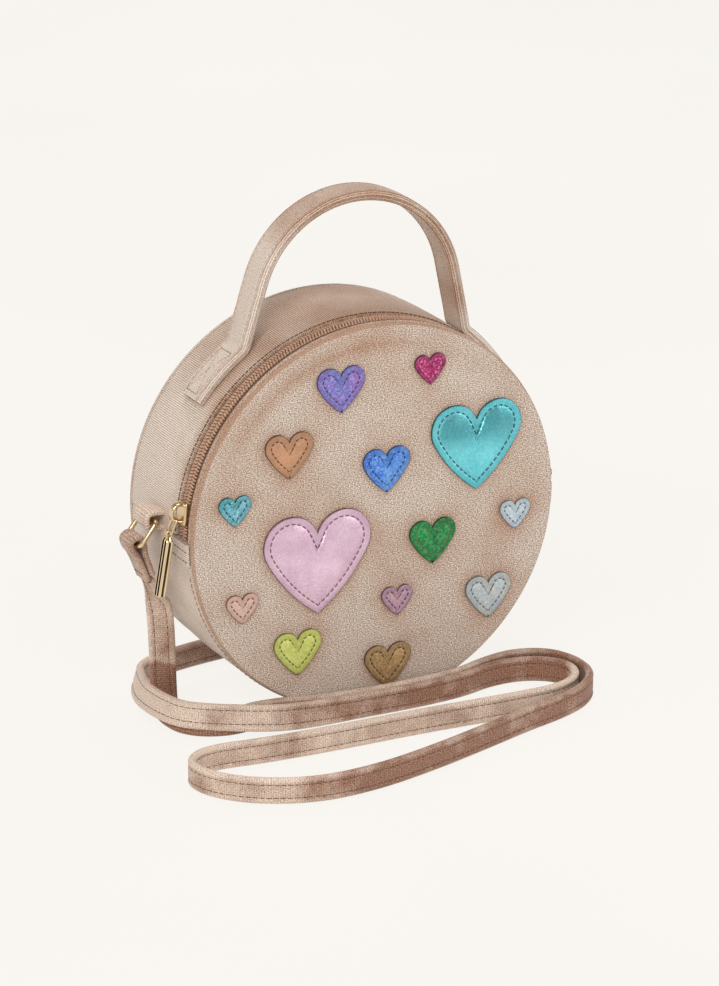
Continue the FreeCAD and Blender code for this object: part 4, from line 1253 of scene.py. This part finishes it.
def strap_widths(line, side):
    """The strap's width lies along the depth at the ring, turns on the way down, and stands up on the floor.

    At the left it first lies flat on the floor for a stretch, then rises onto its edge, and its last run
    leans back where it stands on the first one.
    """
    turning = Vector((-0.88, 0.47, 0)) if side < 0 else Vector((0.75, 0.6, 0))
    run = lengths(line)
    widths = []
    for i, point in enumerate(line):
        lying = DOWN.cross(direction_at(line, i)).normalized()
        leaning = DOWN - lying * 0.5 * ease(run[i], 860, 910) * (1 - ease(run[i], 985, 1020))
        on_floor = lying.lerp(leaning, ease(run[i], 98, 130)) if side < 0 else DOWN
        low = 0.0
        if side > 0:
            low = ease(run[i], 30, 95)
        elif run[i] < 120:
            low = ease(point.z, 4, 18)
        high = ease(point.z, 46, 64)
        widths.append(on_floor.lerp(turning, low).lerp(DEPTH, high).normalized())
    return widths


def strap_nap_and_light(distance):
    for (start, first), (end, second) in zip(STRAP_NAP_AND_LIGHT, STRAP_NAP_AND_LIGHT[1:]):
        if distance <= end:
            return first + (second - first) * ease(distance, start, end)
    return STRAP_NAP_AND_LIGHT[-1][1]


def strap_seams(line, widths):
    seams = []
    normals = []
    for i in range(len(line)):
        forward = direction_at(line, i).normalized()
        side = (widths[i] - forward * widths[i].dot(forward)).normalized()
        widths[i] = side
        normals.append(forward.cross(side))
    for inset in (-3.0, 3.0):
        for face in (1, -1):
            place = [point + side * inset + normal * face * 1.4
                     for point, side, normal in zip(line, widths, normals)]
            seams.append((place, [normal * face for normal in normals], False))
    return seams


def make_strap():
    front, back_left, meeting, back_right = floor_points()
    left_route = [Vector(point) for point in LEFT_DROP] + front + back_left + [meeting]
    right_route = [meeting] + back_right + [Vector(point) for point in RIGHT_DROP]
    before = 0.0
    for name, side, route in (("left", -1, left_route), ("right", 1, right_route)):
        path = smooth_line([point * MM for point in route])
        line = [point / MM for point in path]
        widths = strap_widths(line, side)
        profile = band_profile(STRAP_WIDTH, STRAP_THICKNESS, 3.0, 0.45)
        strap = sweep(f"strap_{name}", line, widths, profile, STRAP_VELVET, start=before)
        run = lengths(line)
        nap = strap.data.attributes.new("brushed", "FLOAT", "POINT")
        for i, value in enumerate(nap.data):
            # Paler towards the strap's edges: a painted sheen where they catch the light
            painted_edge_sheen = 0.35 * ease(abs(profile[i % len(profile)][0]), 3.4, 5.4)
            value.value = strap_nap_and_light(before + run[i // len(profile)]) - painted_edge_sheen
        # Dark, nearly unbroken stitch rows: thread that also stands in for the shade in the stitch grooves
        sewn = stitches(f"strap_stitches_{name}", strap_seams(line, widths), THREAD, 2.6, 0.4, 0.19)
        for piece in (strap, sewn):
            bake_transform(piece, "bag", f"{name}_ring", metres((0, 0, 15)), metres((0, 0, 60)))
        length = lengths(path)[-1]
        exit_point = path[0] if side < 0 else path[-1]
        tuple(exit_point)
        before = run[-1]
    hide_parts("strap_left_drop", "strap_floor_run")
    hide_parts("strap_right_drop")


# Heart patches

# Thread colours of each patch, light and dark
THREAD_TONES = {
    "purple": ((84, 70, 116), (50, 42, 72)),
    "magenta": ((236, 160, 196), (196, 104, 150)),
    "turquoise": ((64, 110, 116), (36, 70, 76)),
    "copper": ((112, 76, 54), (76, 48, 34)),
    "blue": ((52, 70, 112), (30, 42, 74)),
    "teal": ((66, 76, 104), (40, 48, 72)),
    "pink": ((142, 104, 112), (104, 72, 80)),
    "green": ((136, 128, 78), (92, 92, 50)),
    "silver_small": ((134, 122, 112), (98, 86, 78)),
    "silver": ((122, 110, 100), (86, 76, 68)),
    "rose": ((132, 92, 76), (92, 60, 48)),
    "mauve": ((104, 74, 80), (68, 46, 52)),
    "lime": ((116, 114, 54), (80, 78, 34)),
    "bronze": ((84, 62, 40), (52, 38, 24)),
}
ON_FLAP = ("purple", "magenta", "turquoise", "copper", "blue", "teal")
# Foil colours of each patch: two that drift into each other, its painted glints, and its cut edge, also used
# for painted shade; then its glitter
FOIL_TONES = {
    "purple": ((146, 112, 188), (106, 118, 194), (192, 196, 248), (74, 62, 104), 0.5),
    "magenta": ((178, 28, 104), (146, 24, 86), (244, 138, 190), (84, 30, 56), 0.55),
    "turquoise": ((122, 222, 232), (102, 206, 220), (204, 246, 250), (42, 100, 108), 0.22),
    "copper": ((202, 148, 112), (178, 136, 102), (232, 192, 162), (96, 66, 48), 0.25),
    "blue": ((60, 122, 222), (92, 152, 226), (176, 214, 252), (40, 62, 108), 0.5),
    "teal": ((84, 176, 186), (118, 178, 200), (200, 240, 244), (44, 82, 90), 0.6),
    "pink": ((239, 207, 226), (224, 187, 212), (255, 238, 250), (120, 88, 100), 0.15),
    "green": ((14, 140, 70), (22, 114, 60), (104, 200, 124), (26, 58, 36), 0.55),
    "silver_small": ((196, 214, 216), (178, 198, 218), (246, 252, 255), (116, 112, 106), 0.4),
    "silver": ((192, 196, 190), (178, 192, 204), (242, 246, 240), (104, 96, 86), 0.4),
    "rose": ((224, 190, 174), (214, 178, 164), (248, 226, 214), (120, 88, 74), 0.25),
    "mauve": ((188, 148, 162), (176, 142, 172), (230, 206, 222), (96, 68, 74), 0.4),
    "lime": ((216, 224, 118), (200, 208, 104), (246, 248, 190), (98, 100, 44), 0.35),
    "bronze": ((190, 154, 106), (166, 134, 92), (232, 204, 152), (72, 54, 34), 0.55),
}
# The two large patches are shinier, crinkled, and carry a painted dark reflection where they curve up
FOIL_SHINE = {
    "turquoise": {"metal": 0.75, "rough": 0.25, "crackle": 0.35, "shaded": 0.56},
    "pink": {"metal": 0.55, "rough": 0.26, "crackle": 0.2, "shaded": 0.14},
}
PATCH_THREADS = {
    name: thread(f"thread_{name}", paint(*light), paint(*dark))
    for name, (light, dark) in THREAD_TONES.items()
}
PATCH_FOILS = {
    name: patch(f"patch_{name}", tones, glitter, **FOIL_SHINE.get(name, {}))
    for name, (*tones, glitter) in FOIL_TONES.items()
}


def on_front(x, z, height):
    """A place that stands out from the front panel's face."""
    return Vector((x, front_skin(x, z) - height, z))


def heart_rows(width):
    """Rings of places from a patch's edge to its middle, each place with its height on the panel."""
    edge = heart_line(width)
    sewn = SEWN_INSETS[width]
    rings = ((0.0, -0.4), (0.0, 0.4), (0.12, 0.6), (0.35, 0.7), (sewn - 0.9, 0.75), (sewn - 0.4, 0.6),
             (sewn, 0.4), (sewn + 0.4, 0.6))
    rows = [[(x, z, height) for x, z in inset_line(edge, inset)] for inset, height in rings]
    inner_line = [Vector((x, z)) for x, z, height in rows[-1]]
    swell, softness = (1.6, 3.5) if width >= LARGE else (0.35, 0.9)
    border = rows[-1]
    for share in (0.06, 0.14, 0.24, 0.36, 0.5, 0.66, 0.84, 0.9999):
        row = []
        for border_x, border_z, height in border:
            x = border_x * (1 - share)
            z = border_z + (0.03 * width - border_z) * share
            gap = min((Vector((x, z)) - point).length for point in inner_line)
            row.append((x, z, 0.6 + swell * (1 - math.exp(-gap / softness))))
        rows.append(row)
    return rows


def shade_heart(piece, centre_x, centre_z, width):
    """Stores how far each point is from the patch's edge, and how much of the upper part, with its painted
    dark reflection, it is in.
    """
    attributes = piece.data.attributes
    for stored in ("edge", "upper"):
        attributes.new(stored, "FLOAT", "POINT")
    sewn = SEWN_INSETS[width]
    for i, vertex in enumerate(piece.data.vertices):
        place = Vector((vertex.co.x / MM - centre_x, vertex.co.z / MM - centre_z))
        nearest = min((place - point).length for point in HEART_LINES[width])
        attributes["edge"].data[i].value = min(1.0, nearest / sewn)
        rise = ease(place.y / width, -0.12, 0.24)
        attributes["upper"].data[i].value = rise * ease(nearest, sewn, sewn + 1.2)


def make_heart(name, width, x_share, z_share):
    """A patch: a raised border, a line of stitches in a groove, and a middle that swells inside it."""
    centre_x = RADIUS * x_share
    centre_z = CENTRE_HEIGHT + RADIUS * z_share
    puffed = width >= LARGE
    rows = heart_rows(width)
    points = [[on_front(centre_x + x, centre_z + z, height) for x, z, height in row] for row in rows]

    def spot(i, j):
        x, z, height = rows[i][j % len(rows[i])]
        return (centre_x + x) * MM, (centre_z + z) * MM

    piece = grid(f"heart_{name}", points, spot, PATCH_FOILS[name], wrap=True, sharp=70)
    shade_heart(piece, centre_x, centre_z, width)
    groove = inset_line(heart_line(width), SEWN_INSETS[width])
    line = [on_front(centre_x + x, centre_z + z, 0.44) for x, z in groove]
    seam = (line, [DEPTH * -1] * len(line), True)
    dash = 2.2 if puffed else 1.6
    sewn = stitches(f"heart_stitches_{name}", [seam], PATCH_THREADS[name], dash, 0.7, 0.3)
    for part in (piece, sewn):
        if name == "pink":
            folds_with_flap(part)
        else:
            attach(part, "front_flap" if name in ON_FLAP else "bag")
    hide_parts(f"heart_{name}")


# Stage, light and camera

def make_stage():
    s = Surface("pale_floor", "Object")
    pale = s.ramp(s.noise(3, 2.0), (0.3, paint(248, 245, 240)), (0.7, paint(250, 247, 242)))
    s.set(Base_Color=pale, Roughness=s.ramp(s.noise(40, 2.0), (0.3, 0.85), (0.7, 0.9)))
    glow = s.add("ShaderNodeEmission", (("Color", pale),))
    seen = s.seeing_rays(s.add("ShaderNodeLightPath"))
    s.show(s.combine(seen, 0.94, "MULTIPLY"), s.shader.outputs[0], glow.outputs[0], "Material Output")
    half = 6000
    corners = [Vector((x, y, -0.5)) for x, y in ((-half, -half), (half, -half), (half, half), (-half, half))]
    floor = mesh_piece("floor", corners, [(0, 1, 2, 3)], [(0, 0), (1, 0), (1, 1), (0, 1)], s.material)


def make_world():
    """Soft light from all round, a pale backdrop, and a darker ceiling that only glossy things reflect."""
    world = bpy.data.worlds.new("studio")
    bpy.context.scene.world = world
    world.use_nodes = True
    w = Nodes(world.node_tree)
    light = w.tree.nodes["Background"]
    w.put(paint(244, 242, 240), light.inputs["Color"])
    w.put(0.42, light.inputs["Strength"])
    direction = w.add("ShaderNodeTexCoord").outputs["Generated"]
    height = w.add("ShaderNodeSeparateXYZ", ((0, direction),)).outputs["Z"]
    ceiling = w.add("ShaderNodeMapRange", (("Value", height), ("From Min", 0.1), ("From Max", 0.55)))
    path = w.add("ShaderNodeLightPath")
    overhead = w.combine(ceiling.outputs[0], path.outputs["Is Glossy Ray"], "MULTIPLY")
    shade = w.mix(overhead, paint(249, 246, 241), paint(150, 144, 138))
    backdrop = w.add("ShaderNodeBackground", (("Color", shade), ("Strength", 1.0)))
    w.show(w.seeing_rays(path), light.outputs[0], backdrop.outputs[0], "World Output")


def area_light(name, place, size, power):
    lamp = bpy.data.lights.new(name, "AREA")
    lamp.shape = "DISK"
    lamp.size = size
    lamp.energy = power
    holder = bpy.data.objects.new(name, lamp)
    bpy.context.scene.collection.objects.link(holder)
    holder.location = place
    aim = Vector((0, 0, 0.09)) - Vector(place)
    holder.rotation_euler = aim.to_track_quat("-Z", "Y").to_euler()


def make_lights():
    area_light("key", (-1.4, -1.5, 1.7), 1.3, 34)
    area_light("fill", (1.9, -1.3, 1.0), 1.6, 14)
    area_light("top", (0.3, 0.6, 2.2), 1.4, 16)


def make_camera():
    lens = bpy.data.cameras.new("camera")
    lens.sensor_width = 36
    lens.lens = 146.04
    lens.shift_x = 0.0178
    lens.shift_y = 0.0023
    camera = bpy.data.objects.new("camera", lens)
    bpy.context.scene.collection.objects.link(camera)
    target = Vector((0, 0.0008, 0.0892))
    towards = Vector((-0.427, -0.837, 0.342)).normalized()
    camera.location = target + towards * 1.8
    camera.rotation_euler = (-towards).to_track_quat("-Z", "Y").to_euler()
    bpy.context.scene.camera = camera


make_camera()
make_strap()
make_panels()
make_gussets()
make_zip()
make_slider()
make_link()
make_pull()
make_handle()
make_ring_side("left", -1)
make_ring_side("right", 1)
for heart, (heart_width, heart_x, heart_z) in HEARTS.items():
    make_heart(heart, heart_width, heart_x, heart_z)
make_stage()
make_world()
make_lights()
bpy.context.scene.view_settings.view_transform = "Standard"
